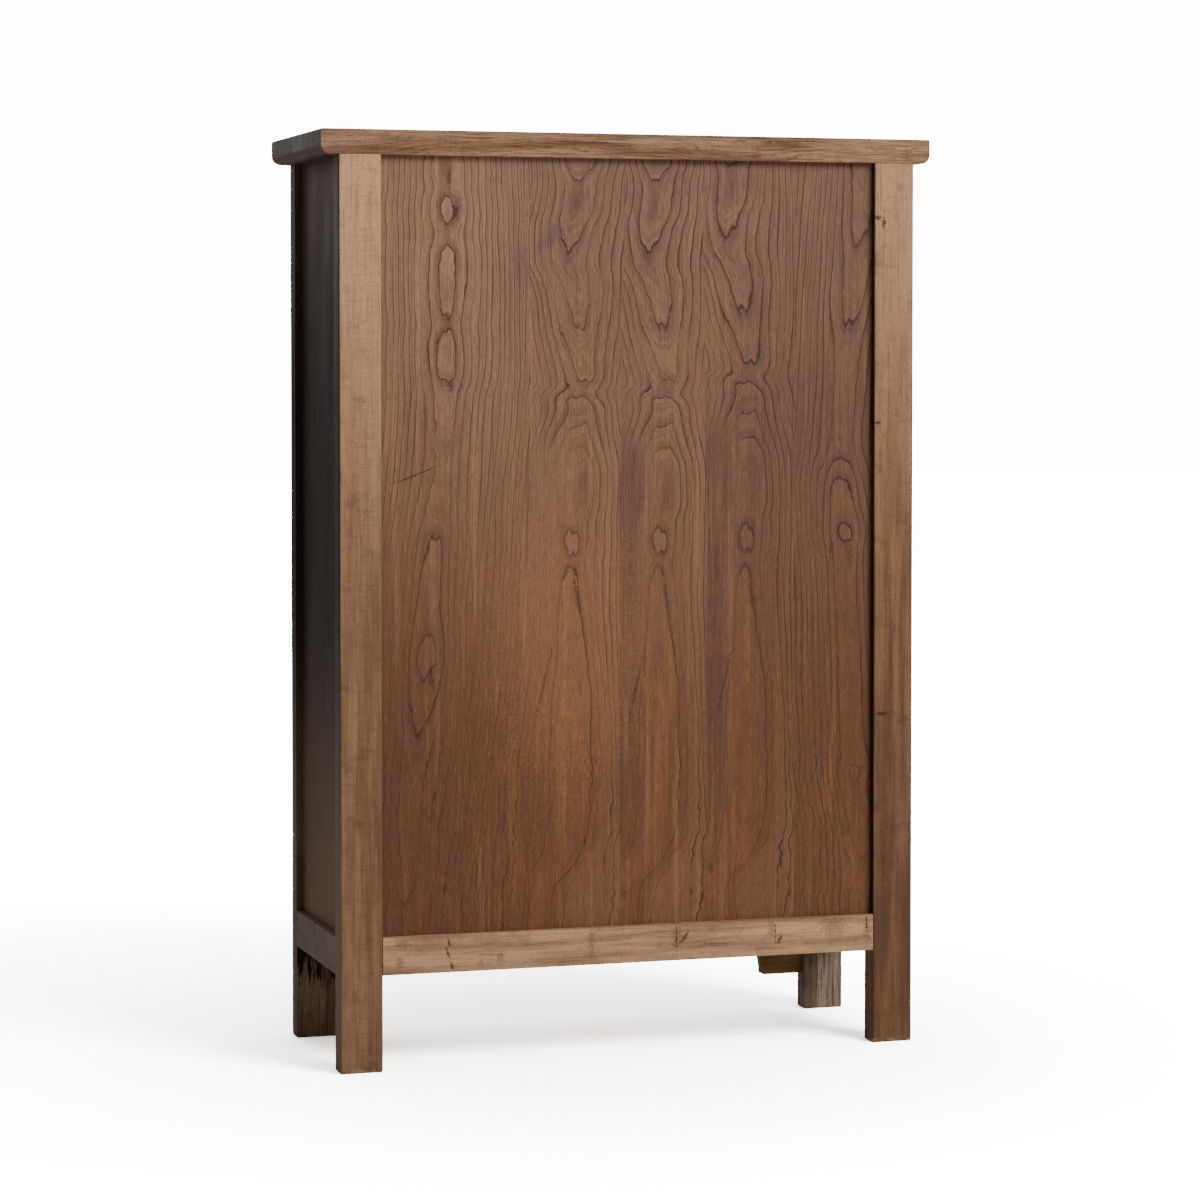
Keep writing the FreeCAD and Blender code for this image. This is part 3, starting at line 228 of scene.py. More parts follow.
class Veneer(Finish):
    """The figure of the back panel: five leaves of one log, laid side by side."""

    def along_height(self, height, points, low, high):
        """A value between low and high that follows points of (height, value)."""
        share = self.add("Math", height, CURVE_HEIGHT, operation="DIVIDE")
        curve = self.add("FloatCurve", 1.0, share)
        line = curve.mapping.curves[0]
        places = [(z / CURVE_HEIGHT, (value - low) / (high - low)) for z, value in points]
        line.points[0].location = (0.0, places[0][1])
        line.points[1].location = (1.0, places[-1][1])
        for place in places:
            line.points.new(*place)
        for point in line.points:
            point.handle_type = "AUTO_CLAMPED"
        curve.mapping.update()
        return self.add("Math", curve, high - low, low, operation="MULTIPLY_ADD")

    def middle_leaves(self):
        """Three leaves with the same figure, closer together at the top, the one at -X set
        higher: place across the leaf, and depth of the pith. Both keep the leaf's number."""
        add = self.add
        pitch = add("MapRange", self.z, LEAF_PITCH_FROM, CURVE_HEIGHT, LEAF_PITCH, LEAF_PITCH_TOP)
        from_middle = add("Math", self.x, LEAF_MIDDLE, operation="SUBTRACT")
        leaf = add("Math", add("Math", from_middle, pitch, operation="DIVIDE"), operation="ROUND")
        leaf = add("Math", leaf, -1.0, operation="MAXIMUM")
        self.leaf = add("Math", leaf, 1.0, operation="MINIMUM")
        last = add("Math", self.leaf, -0.5, operation="LESS_THAN")
        higher = add("MapRange", self.z, SET_HIGHER_FROM, SET_HIGHER_TO, 0.0, SET_HIGHER)
        higher = add("Math", higher, last, operation="MULTIPLY")
        self.height = add("Math", self.z, higher, operation="SUBTRACT")
        leaf_line = add("Math", self.leaf, pitch, operation="MULTIPLY")
        across = add("Math", from_middle, leaf_line, operation="SUBTRACT")

        sway = self.along_height(self.height, MIDDLE_SWAY, -CURVE_SWAY, CURVE_SWAY)
        gentle = add("Math", sway, SWAY_ALL, operation="MINIMUM")
        swayed = add("MapRange", across, SWAY_NONE, SWAY_FULL)
        gentle = add("Math", gentle, swayed, operation="MULTIPLY")
        across = add("Math", across, gentle, operation="SUBTRACT")
        sweep = add("Math", sway, SWAY_ALL, operation="SUBTRACT")
        sweep = add("Math", sweep, 0.0, operation="MAXIMUM")
        swept = add("Math", across, sweep, operation="SUBTRACT")
        straight = add("Math", across, STRAIGHT_FROM, operation="MINIMUM")
        inside = add("Math", across, STRAIGHT_FROM, operation="GREATER_THAN")
        beside = add("Math", swept, STRAIGHT_FROM, operation="LESS_THAN")
        self.opened = add("Math", inside, beside, operation="MULTIPLY")
        across = add("Math", swept, straight, operation="MAXIMUM")
        return across, self.along_height(self.height, MIDDLE_DEPTH, 0.0, CURVE_DEPTH)

    def end_leaves(self, across, depth):
        """The same, with the leaf at each end of the panel put in its place."""
        add = self.add
        lean = add("Math", LEFT_LEAN_TOP, self.z, operation="SUBTRACT")
        lean = add("Math", lean, 0.0, operation="MAXIMUM")
        lean = add("Math", lean, LEFT_LEAN, LEFT_MIDDLE, operation="MULTIPLY_ADD")
        left = add("Math", self.x, lean, operation="SUBTRACT")
        left_depth = self.along_height(self.z, LEFT_DEPTH, 0.0, CURVE_DEPTH)
        sway = self.along_height(self.z, RIGHT_SWAY, RIGHT_SWAY_LEAST, RIGHT_SWAY_MOST)
        right = add("Math", self.x, sway, operation="SUBTRACT")
        right_depth = self.along_height(self.z, RIGHT_DEPTH, 0.0, CURVE_DEPTH)
        at_left = add("Math", self.x, LEFT_SEAM, operation="GREATER_THAN")
        at_right = add("Math", self.x, RIGHT_SEAM, operation="LESS_THAN")
        across = add("Mix", at_left, across, left, data_type="FLOAT")
        depth = add("Mix", at_left, depth, left_depth, data_type="FLOAT")
        across = add("Mix", at_right, across, right, data_type="FLOAT")
        depth = add("Mix", at_right, depth, right_depth, data_type="FLOAT")
        self.end_leaf = add("Math", at_left, at_right, operation="MAXIMUM")
        return across, depth

    def rings(self, across, depth):
        """Number of the growth ring at a place, with its fraction."""
        add = self.add
        aside = add("Math", self.leaf, 3.0, operation="MULTIPLY")
        self.leaf_place = place = add("CombineXYZ", across, aside, self.height)
        waver = self.patches((70, 70, 300), 0.2, 0.8, WAVER, place, 1.0)
        bend = self.patches((24, 24, 260), 0.2, 0.8, BEND, place, 1.0)
        jag = self.patches((10, 10, 22), 0.2, 0.8, JAG, place, 2.5)
        ripple = self.patches((24, 24, 55), 0.2, 0.8, RIPPLE, place, 2.0)
        waver = add("Math", waver, WAVER / 2, operation="SUBTRACT")
        ripple = add("Math", ripple, RIPPLE / 2, operation="SUBTRACT")
        low = add("MapRange", self.z, RIPPLE_FROM, RIPPLE_ALL)
        across = add("Math", across, waver, operation="ADD")
        across = add("Math", ripple, low, across, operation="MULTIPLY_ADD")
        square = add("Math", across, across, operation="MULTIPLY")
        square = add("Math", depth, depth, square, operation="MULTIPLY_ADD")
        self.radius = add("Math", square, operation="SQRT")
        # lines are ragged where the surface runs along the growth rings, and straight beside that
        slant = add("Math", across, operation="ABSOLUTE")
        slant = add("Math", slant, self.radius, operation="DIVIDE")
        self.thick = add("MapRange", slant, 0.0, 1.0, 0.065, 0.14)
        thicker = add("MapRange", self.x, 50.0, -250.0, 0.0, 0.04)
        self.thick = add("Math", self.thick, thicker, operation="ADD")
        wild = add("MapRange", slant, 0.55, 0.95, 1.0, 0.14)
        inner = add("MapRange", self.radius, 45.0, 37.0, 0.0, 0.55)
        self.wild = add("Math", wild, inner, operation="MAXIMUM")
        jag = add("Math", jag, JAG / 2, operation="SUBTRACT")
        rough = add("Math", jag, self.wild, bend, operation="MULTIPLY_ADD")
        rough = add("Math", rough, BEND / 2, operation="SUBTRACT")
        radius = add("Math", self.radius, rough, operation="ADD")
        outer = add("Math", radius, RING_CHANGE, operation="SUBTRACT")
        outer = add("Math", outer, 0.0, operation="MAXIMUM")
        inner = add("Math", radius, RING_INNER, operation="DIVIDE")
        closer = 1 / RING_OUTER - 1 / RING_INNER
        return add("Math", outer, closer, inner, operation="MULTIPLY_ADD")

    def lines(self, ring, thick):
        """Thin lines at the whole numbers of the ring, sharp inside and softer outside."""
        add = self.add
        part = add("Math", ring, operation="FRACT")
        left = add("Math", 1.0, part, operation="SUBTRACT")
        after = add("Math", part, thick, operation="DIVIDE")
        before = add("Math", left, thick, operation="DIVIDE")
        outside = add("MapRange", after, 1.0, 0.2, interpolation_type="SMOOTHSTEP")
        inside = add("MapRange", before, 0.4, 0.0, interpolation_type="SMOOTHSTEP")
        return add("Math", outside, inside, operation="MAXIMUM")

    def plainness(self, across):
        """Where the growth lines are faint: low down on a middle leaf, on its +X side, near its
        middle, and in a band outside the innermost line; and low down on the end leaves."""
        add = self.add
        low = add("MapRange", self.height, 1120.0, 1030.0, interpolation_type="SMOOTHSTEP")
        not_end = add("Math", 1.0, self.end_leaf, operation="SUBTRACT")
        self.low = add("Math", low, not_end, operation="MULTIPLY")
        # the +X side, less so near the pith and near the floor
        side = add("MapRange", across, -15.0, 20.0, 0.0, 0.85, interpolation_type="SMOOTHSTEP")
        outer = add("MapRange", self.radius, 36.0, 42.0, 0.55, 1.0)
        side = add("Math", side, outer, operation="MULTIPLY")
        lifted = add("MapRange", self.z, 400.0, 600.0, 0.3, 1.0)
        side = add("Math", side, lifted, operation="MULTIPLY")
        # the middle, and the band outside the innermost line
        middle = add("MapRange", self.radius, 34.0, 28.0, 0.0, 0.8)
        beyond = add("MapRange", self.radius, 39.0, 44.0, 0.0, 0.6)
        near = add("MapRange", self.radius, 61.0, 57.0)
        lower = add("MapRange", self.height, 960.0, 840.0)
        band = add("Math", beyond, near, operation="MULTIPLY")
        band = add("Math", band, lower, operation="MULTIPLY")
        plain = add("Math", side, middle, operation="MAXIMUM")
        plain = add("Math", plain, band, operation="MAXIMUM")
        plain = add("Math", plain, self.low, operation="MULTIPLY")
        # the end leaves away from their pith, the left one more
        ends = add("MapRange", self.z, 1130.0, 700.0, 0.0, self.end_leaf)
        most = add("MapRange", self.z, 750.0, 500.0, 0.72, 0.25)
        away = add("MapRange", self.radius, 37.0, 50.0, 0.0, most)
        leftward = add("MapRange", self.x, 0.0, -300.0, 1.0, 0.45)
        away = add("Math", away, leftward, operation="MULTIPLY")
        away = add("Math", away, ends, operation="MULTIPLY")
        plain = add("Math", plain, away, operation="MAXIMUM")
        return add("Math", plain, self.opened, operation="MAXIMUM")


def elm_veneer():
    """Slip-matched elm veneer, sanded, stained and finished satin: thin dark growth lines with a
    soft shade outside each, fine feathering between them, colour warmer and darker below, partly
    painted shade."""
    own = Veneer("elm_veneer_stained_satin")
    add = own.add
    across, depth = own.end_leaves(*own.middle_leaves())
    ring = own.rings(across, depth)
    shown = add("Math", 1.0, own.plainness(across), operation="SUBTRACT")
    ring_place = add("CombineXYZ", add("Math", ring, operation="FLOOR"), own.leaf, own.height)

    # dark lines of uneven strength, their soft shade, and faint lines between them
    uneven = own.patches((0.7, 2.0, 260), 0.35, 0.62, 0.65, ring_place, 1.0)
    strength = add("Math", uneven, 0.35, operation="ADD")
    strength = add("Math", strength, shown, operation="MULTIPLY")
    crisp = add("Math", own.lines(ring, own.thick), strength, operation="MULTIPLY")
    part = add("Math", ring, operation="FRACT")
    shade = add("MapRange", part, 0.6, 0.0, interpolation_type="SMOOTHSTEP")
    shade = add("Math", shade, strength, operation="MULTIPLY")
    ragged = add("MapRange", own.wild, 0.14, 1.0, 0.34, 0.62)
    shade = add("Math", shade, ragged, operation="MULTIPLY")
    twice = add("Math", ring, 2.0, 0.9, operation="MULTIPLY_ADD")
    between = own.lines(twice, 0.25)
    some = own.patches((0.4, 2.0, 420), 0.36, 0.6, 0.75, ring_place, 1.0)
    between = add("Math", between, some, operation="MULTIPLY")
    calm = add("Math", 1.0, own.wild, operation="SUBTRACT")
    high = add("MapRange", own.z, 700.0, 1100.0, 0.3, 1.0)
    calm = add("Math", calm, high, operation="MULTIPLY")
    calm = add("Math", calm, shown, operation="MULTIPLY")
    between = add("Math", between, calm, operation="MULTIPLY")

    # Elm's pores are a quarter of a millimetre wide, too fine to show, so they and the fibre are
    # drawn about 1 mm wide. The fibre is straight above and mottled below.
    pores = own.patches((0.9, 3, 13), 0.47, 0.73, 0.6)
    bright = own.patches((1.1, 3, 18), 0.52, 0.76, 0.27)
    straight = add("MapRange", own.z, 550.0, 1150.0, 0.2, 1.0)
    crossed = add("Math", 1.0, straight, operation="SUBTRACT")
    fibre = own.patches((3.0, 8, 200), 0.35, 0.75, 0.35)
    fibre = add("Math", fibre, straight, operation="MULTIPLY")
    stripes = own.patches((1.7, 8, 300), 0.42, 0.7, 0.4)
    stripes = add("Math", stripes, straight, operation="MULTIPLY")
    mottle = own.patches((5, 5, 30), 0.45, 0.72, 0.36)
    mottle = add("Math", mottle, crossed, operation="MULTIPLY")
    # fine feathering that follows the growth lines, an eighth of their distance wide
    along = add("Math", own.height, 1 / 400.0, operation="MULTIPLY")
    feather_place = add("CombineXYZ", ring, own.leaf, along)
    feather = own.patches((0.13, 1.0, 0.13), 0.42, 0.66, 0.4, feather_place, 1.0)
    high = add("MapRange", own.z, 700.0, 1250.0, 0.4, 1.0)
    feather = add("Math", feather, high, operation="MULTIPLY")
    ragged = add("Math", own.wild, 0.3, operation="MAXIMUM")
    feather = add("Math", feather, ragged, operation="MULTIPLY")

    # the stain is warmer and darker below, partly painted shade, and glows near the pith
    warm = add("MapRange", own.z, 1250.0, 500.0, interpolation_type="SMOOTHSTEP")
    glow = add("MapRange", own.radius, 50.0, 5.0, 0.0, 0.34, interpolation_type="SMOOTHSTEP")
    glowing = add("Math", own.low, own.end_leaf, operation="MAXIMUM")
    glow = add("Math", glow, glowing, operation="MULTIPLY")
    glow = add("Math", glow, own.patches((30, 30, 300), 0.3, 0.6), operation="MULTIPLY")
    amber = add("Math", own.patches((14, 20, 340), 0.58, 0.75, 0.4), warm, operation="MULTIPLY")
    rust = add("Math", own.patches((22, 30, 130), 0.5, 0.72, 0.5), warm, operation="MULTIPLY")
    high = add("MapRange", own.z, 1250.0, 1500.0)
    bloom = add("Math", own.patches((60, 30, 45), 0.48, 0.72, 0.5), high, operation="MULTIPLY")
    # a dark plum band beside two of the seams, and light wood on their other side
    dusk = add("MapRange", across, 26.0, 52.0, 0.0, 0.88, interpolation_type="SMOOTHSTEP")
    two = add("Math", own.leaf, 0.5, operation="LESS_THAN")
    dusk = add("Math", dusk, two, operation="MULTIPLY")
    lifted = add("MapRange", own.z, 420.0, 640.0, 0.25, 1.0)
    dusk = add("Math", dusk, lifted, operation="MULTIPLY")
    dusk = add("Math", dusk, own.low, operation="MULTIPLY")
    dawn = add("MapRange", across, -42.0, -62.0, 0.0, 0.3, interpolation_type="SMOOTHSTEP")
    dawn = add("Math", dawn, own.low, operation="MULTIPLY")
    # darker by stages towards -X, and in the low corner at +X: partly the wood's own colour,
    # partly painted shade
    middle_side_tone_and_shade = add("MapRange", own.x, 270.0, 60.0, 0.0, 0.42)
    high = add("MapRange", own.z, 1000.0, 1300.0, 0.5, 1.0)
    middle_side_tone_and_shade = add("Math", middle_side_tone_and_shade, high, operation="MULTIPLY")
    far_side_tone_and_shade = add("MapRange", own.x, -90.0, -240.0, 0.0, 0.62)
    below = add("MapRange", own.z, 1450.0, 1100.0, 0.35, 1.0)
    far_side_tone_and_shade = add("Math", far_side_tone_and_shade, below, operation="MULTIPLY")
    lifted = add("MapRange", own.z, 400.0, 750.0, 0.3, 1.0)
    far_side_tone_and_shade = add("Math", far_side_tone_and_shade, lifted, operation="MULTIPLY")
    low_corner_tone_and_shade = add("MapRange", own.x, 60.0, 440.0, 0.15, 0.6)
    low_corner_tone_and_shade = add("Math", low_corner_tone_and_shade, warm, operation="MULTIPLY")
    lowest_tone_and_shade = add("MapRange", own.z, 850.0, 400.0, 0.0, 0.07, interpolation_type="SMOOTHSTEP")
    colour = own.stained(
        linear("8d6850"),
        # the stain, and how it changes over the panel, partly painted shade
        ("6e411f", warm),
        ("94532c", glow),
        ("4b302a", dusk),
        ("9b7152", dawn),
        ("5a3e30", own.patches((30, 30, 420), 0.54, 0.78, 0.6, own.leaf_place)),
        ("ae7e55", own.patches((13, 13, 500), 0.52, 0.7, 0.5)),
        ("99583d", rust),
        ("624941", bloom),
        ("68432c", middle_side_tone_and_shade),
        ("573219", far_side_tone_and_shade),
        ("55321b", low_corner_tone_and_shade),
        ("4f2e16", lowest_tone_and_shade),
        ("a06a34", amber),
        # marks in their own places
        ("a3702f", own.spots(AMBER), 0.2),
        *((code, own.spot(*place), strength) for code, place, strength in TONES),
        ("5b433e", own.spots(PLUM), 0.42),
        ("5c4a4a", own.spot(*GREY_SMEAR), 0.7),
        # fibre, growth lines and pores
        ("a27759", fibre),
        ("5a3927", stripes),
        ("4a2c1c", mottle),
        ("50301f", feather),
        ("432a1d", between),
        ("4c2f25", shade),
        ("b28a6b", bright),
        ("4b3025", pores),
        ("321a0f", crisp, 0.95),
        ("3a2219", own.spots(TIPS), 0.6),
        ("2e1d17", own.spot(*SCRATCH), 0.75),
    )
    relief = add("Math", crisp, -1.0, 1.0, operation="MULTIPLY_ADD")
    relief = add("Math", pores, -0.5, relief, operation="MULTIPLY_ADD")
    rough = add("MapRange", fibre, 0.0, 0.35, 0.5, 0.58)
    depth = VENEER_RELIEF
    return own.surface(colour, rough, relief, depth, IOR=SATIN_IOR, Specular_IOR_Level=BARE_SHINE)


# Heights between which the lacquer turns brown: low down, and high up
LACQUER_BROWN_LOW_FROM, LACQUER_BROWN_LOW_ALL = 820.0, 260.0
LACQUER_BROWN_HIGH_FROM, LACQUER_BROWN_HIGH_ALL = 1150.0, 1550.0
# How far short of its limit in mm a face has no lacquer left, and from where it has all of it
COAT_NONE, COAT_ALL = -1.7, -1.2


class PlanedWood(Finish):
    """Planed wood with its fibre along x, y or z, in three colours: light, dark and deepest."""

    def __init__(self, name, along, light, dark, deep):
        super().__init__(name)
        self.along, self.deep = along, deep
        bands = self.patches(self.size(22, 320), 0.35, 0.65)
        self.colour = self.stained(linear(light), (dark, bands))

    def grain(self, streaks=0.4, planed=0.17):
        """Soft streaks, blotches, short pores and the faint marks of the plane across them. The
        real pores and streaks are finer than they are drawn here, where they have to show."""
        marks = self.patches(self.size(50, 2.2), 0.48, 0.72, planed, detail=2.0)
        pores = self.patches(self.size(0.9, 9), 0.5, 0.78, 0.6)
        self.stain(
            (self.deep, self.patches(self.size(1.8, 90), 0.5, 0.7, streaks)),
            (self.deep, self.patches(self.size(5.0, 170), 0.5, 0.75, streaks)),
            (self.deep, self.patches((40, 40, 40), 0.5, 0.8, 0.45)),
            (self.deep, self.patches(self.size(11, 28), 0.55, 0.8, 0.35)),
            (self.deep, marks),
            (self.deep, pores),
        )
        cut = self.add("Math", pores, marks, operation="ADD")
        self.relief = self.add("Math", cut, -1.0, operation="MULTIPLY")
        self.rough = self.add("MapRange", pores, 0.0, 0.55, 0.6, 0.72)

    def growth(self, apart=6.0):
        """Growth lines along a rail, a few mm apart, that drift slowly up and down."""
        add = self.add
        drift = self.patches((240, 60, 45), 0.2, 0.8, 30.0, detail=1.0)
        wobble = self.patches((26, 12, 10), 0.2, 0.8, 3.0, detail=2.0)
        drift = add("Math", drift, wobble, operation="ADD")
        height = add("Math", self.z, drift, operation="ADD")
        part = add("Math", add("Math", height, apart, operation="DIVIDE"), operation="FRACT")
        line = add("MapRange", part, 0.45, 0.0)
        uneven = self.patches((120, 40, 12), 0.35, 0.6, 0.62)
        self.stain((self.deep, add("Math", line, uneven, operation="MULTIPLY")))

    def size(self, across, lengthways):
        """A pattern's size along x, y and z, from its sizes across the fibre and along it."""
        return tuple(lengthways if axis == self.along else across for axis in "xyz")

    def stain(self, *stains):
        self.colour = self.stained(self.colour, *stains)

    def knots(self, places, smudges=()):
        """Dark ragged knots and cracks, and wide faint smudges."""
        if smudges:
            self.stain((self.deep, self.spots(smudges), 0.4))
        if places:
            self.stain(("241610", self.spots(places), 0.8))

    def past(self, way, place):
        """How far a point stands past a place in mm, to a side, the front or the top."""
        if way == "front":
            return self.add("Math", place, self.y, operation="SUBTRACT")
        if way == "top":
            return self.add("Math", self.z, place, operation="SUBTRACT")
        aside = self.add("Math", self.x, operation="ABSOLUTE")
        return self.add("Math", aside, place, operation="SUBTRACT")

    def coat(self, limits, recess):
        """Where the lacquer is: on faces at the limits, worn through at their edges, and in the
        recess above the rails, out to the sides of the panels."""
        add = self.add
        past = [self.past(way, place) for way, place in limits.items()]
        furthest = past[0]
        for other in past[1:]:
            furthest = add("Math", furthest, other, operation="MAXIMUM")
        worn = self.patches((12, 12, 12), 0.25, 0.75, 1.3)
        furthest = add("Math", furthest, worn, operation="SUBTRACT")
        coat = add("MapRange", furthest, COAT_NONE, COAT_ALL, interpolation_type="SMOOTHSTEP")
        if not recess:
            return coat
        beside = add("Math", self.past("side", PANEL_SIDE), 0.0, operation="GREATER_THAN")
        above = add("Math", self.z, RAIL_BOTTOM, operation="GREATER_THAN")
        before = add("Math", self.y, BACK, operation="LESS_THAN")
        beside = add("Math", beside, above, operation="MULTIPLY")
        beside = add("Math", beside, before, operation="MULTIPLY")
        return add("Math", coat, beside, operation="MAXIMUM")

    def lacquer(self, limits, recess=False, lumps=0.0):
        """Black lacquer, brushed on along the fibre: near black with a dull shine, brown low down
        and under the top, finely pitted. Its brush lines are drawn 2 mm wide, coarser than the
        bristles, so that they show."""
        add = self.add
        coat = self.coat(limits, recess)
        soft = {"interpolation_type": "SMOOTHSTEP"}
        low = add("MapRange", self.z, LACQUER_BROWN_LOW_FROM, LACQUER_BROWN_LOW_ALL, 0.0, 0.78, **soft)
        high = add("MapRange", self.z, LACQUER_BROWN_HIGH_FROM, LACQUER_BROWN_HIGH_ALL, 0.0, 0.25, **soft)
        brown_patches = add("Math", self.patches((70, 70, 260), 0.3, 0.7, 0.5), 0.5, operation="ADD")
        browned = add("Math", low, high, operation="ADD")
        browned = add("Math", browned, brown_patches, operation="MULTIPLY")
        brushed = self.patches(self.size(2.4, 260), 0.4, 0.7)
        pits = self.patches((2.0, 2.0, 2.0), 0.55, 0.8)
        black = self.stained(
            linear("281c16"),
            ("1d1511", self.patches((60, 60, 260), 0.35, 0.65)),
            ("8a6a4f", browned),
            ("6a5140", brushed, 0.22),
            ("140e0b", self.patches(self.size(1.7, 200), 0.48, 0.7, 0.45)),
            ("0d0a08", pits, 0.4),
        )
        self.colour = add("Mix", coat, self.colour, black, data_type="RGBA")
        gloss = add("MapRange", brown_patches, 0.5, 1.0, 0.5, 0.64)
        self.rough = add("Mix", coat, self.rough, gloss, data_type="FLOAT")
        pitted = add("Math", pits, -1.0, operation="MULTIPLY")
        if lumps:
            thick = self.patches((6, 6, 6), 0.35, 0.7, lumps)
            pitted = add("Math", pitted, thick, operation="ADD")
        self.relief = add("Mix", coat, self.relief, pitted, data_type="FLOAT")

    def done(self, shine):
        """Ends the material, with its shine as the shader's specular level."""
        relief = (self.relief, WOOD_RELIEF)
        return self.surface(self.colour, self.rough, *relief, Specular_IOR_Level=shine)


def bare(name, along, colours, knots=(), smudges=()):
    """Planed wood, bare or stained, dull."""
    own = PlanedWood(name, along, *colours)
    own.grain()
    own.knots(knots, smudges)
    return own.done(BARE_SHINE)


def lacquered(name, along, colours, **limits):
    """Wood lacquered black on the faces at the limits, bare elsewhere."""
    own = PlanedWood(name, along, *colours)
    own.grain()
    own.lacquer(limits)
    return own.done(LACQUER_SHINE)


def top_back(name, colours):
    """Rail with strong growth lines, stained on its back and lacquered on top."""
    own = PlanedWood(name, "x", *colours)
    own.growth()
    own.grain(0.6)
    own.lacquer({"top": TOP})
    return own.done(LACQUER_SHINE)


def top_end(name, colours):
    """Rail lacquered thickly, so that its end is lumpy and catches the light."""
    own = PlanedWood(name, "y", *colours)
    own.grain()
    own.lacquer({"side": TOP_END, "front": TOP_FRONT, "top": TOP}, lumps=2.5)
    return own.done(RUBBED_SHINE)


def side_rail(name, colours):
    """Rail lacquered on its side and on its ledge, its lower arris worn to pale wood."""
    own = PlanedWood(name, "y", *colours)
    own.grain()
    own.lacquer({"side": LEG_SIDE}, recess=True)
    own.stain(("6e6966", own.patches((60, 60, 60), 0.2, 0.7, 0.6)))  # dust
    arris = own.add("MapRange", own.z, RAIL_BOTTOM + 2.4, RAIL_BOTTOM + 1.0, 0.0, 0.75)
    own.stain(("97806b", arris))
    return own.done(LACQUER_SHINE)


def front_leg(name, colours, tar):
    """Leg with a rough sawn back, tarred black under the rail by a share, lacquered in front and
    outside."""
    own = PlanedWood(name, "z", *colours)
    add = own.add
    own.grain(0.75)
    drip = add("Math", own.patches((5, 5, 45), 0.3, 0.7, 70.0), own.z, operation="ADD")
    black = add("MapRange", drip, RAIL_BOTTOM - 30.0, RAIL_BOTTOM + 5.0, 0.0, tar)
    sawn = own.patches((2.6, 2.6, 80), 0.5, 0.7, tar * 0.55)
    own.stain(("0e0a08", black), ("17100b", sawn))
    own.lacquer({"side": LEG_SIDE, "front": FRONT}, recess=True)
    return own.done(LACQUER_SHINE)


def back_leg(name, colours, low_dark_and_shaded, top_pale_and_lit, planed, knots=(), smudges=()):
    """Stained leg: pale at the top and darker to the floor, partly the wood's colour and partly
    painted light falling from above; black in the seam beside the panel, which is painted shade;
    and lacquered on its outer side. The shares say how dark it is low down, how pale at the top,
    and how much the plane's marks show."""
    own = PlanedWood(name, "z", *colours)
    add = own.add
    # pale at the top and dark low down: partly the wood's colour, partly painted light from above
    light = add("MapRange", own.z, 850.0, 1530.0, 0.0, top_pale_and_lit)
    dark = add("MapRange", own.z, 1350.0, 200.0, 0.0, low_dark_and_shaded)
    own.stain((own.deep, dark), ("cf9f78", light))
    own.grain(0.4, planed)
    # the leg's inner face beside the panel is painted black as shade
    inward = add("Math", own.past("side", LEG_INSIDE), -1.0, operation="MULTIPLY")
    above = add("Math", own.z, RAIL_BOTTOM, operation="GREATER_THAN")
    seam_shade = add("MapRange", inward, -1.5, -0.4, 0.0, 0.92)
    seam_shade = add("Math", seam_shade, above, operation="MULTIPLY")
    worn = own.patches((14, 14, 9), 0.45, 0.6, 0.6)
    worn = add("Math", worn, add("MapRange", own.z, 9.0, 2.0), operation="MULTIPLY")
    own.stain(("15100d", seam_shade), ("b9916f", worn))
    own.knots(knots, smudges)
    own.lacquer({"side": LEG_SIDE}, recess=True)
    return own.done(RUBBED_SHINE)


def aged_brass(name, brass, tarnished):
    """Sheet and wire brass, beaten by hand and worn by hands: warm, with brown tarnish."""
    own = Finish(name)
    # the hammer's marks are 9 mm wide, the tarnish lies in patches of 28 mm
    tarnish = own.patches((28, 28, 28), 0.3, 0.75, tarnished)
    specks = own.patches((1.6, 1.6, 1.6), 0.58, 0.8, tarnished * 0.7)
    colour = own.stained(linear(brass), ("5f4527", tarnish), ("33281b", specks))
    beaten = own.patches((9, 9, 9), 0.3, 0.7, detail=1.0)
    rough = own.add("MapRange", tarnish, 0.0, tarnished, 0.26, 0.48)
    return own.surface(colour, rough, beaten, HAMMERED_RELIEF, Metallic=1.0)


def limit(node, side, axis, inward=0.0):
    """A face's place in mm: side 0 is the low one and 1 the high one, moved in by a length."""
    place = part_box(node)[side][axis] * MM_PER_M
    return place - inward if side else place + inward


# How far the lacquer goes in over the edges beside the doors, and under the top
REVEAL, OVERHANG = 16.0, 45.0
LEG_SIDE = limit("leg_back_right", 1, 0)
LEG_INSIDE = limit("leg_back_right", 0, 0)
PANEL_SIDE = limit("side_panel_right", 1, 0)
RAIL_BOTTOM = limit("bottom_rail_back", 0, 2)
BACK = limit("leg_back_right", 1, 1, 1.2)
FRONT = limit("leg_front_right", 0, 1, REVEAL)
DOOR_PANEL_FRONT = limit("door_left_upper_panel", 0, 1)
APRON_FRONT = limit("apron_front", 0, 1)
TOP = limit("top_panel", 1, 2)
TOP_END = limit("top_rail_right", 1, 0, OVERHANG)
TOP_FRONT = limit("top_rail_front", 0, 1, OVERHANG)

# Colours of the wood: light, dark and deepest
TAN = ("a07a59", "805c41", "4b3221")
TAN_DARK = ("94694a", "6f4c35", "412a1c")
TAN_RAIL = ("c69b73", "9b7253", "4b3020")
TAN_TOP = ("ab8263", "7e5c44", "33221a")
RAW_BROWN = ("927460", "6d5240", "241a13")
RAW_GREY = ("a28975", "786150", "33271e")
RAW_BRACKET = ("966f46", "765434", "2a1b10")
PLAIN = ("a88660", "8f6d48", "5b4028")

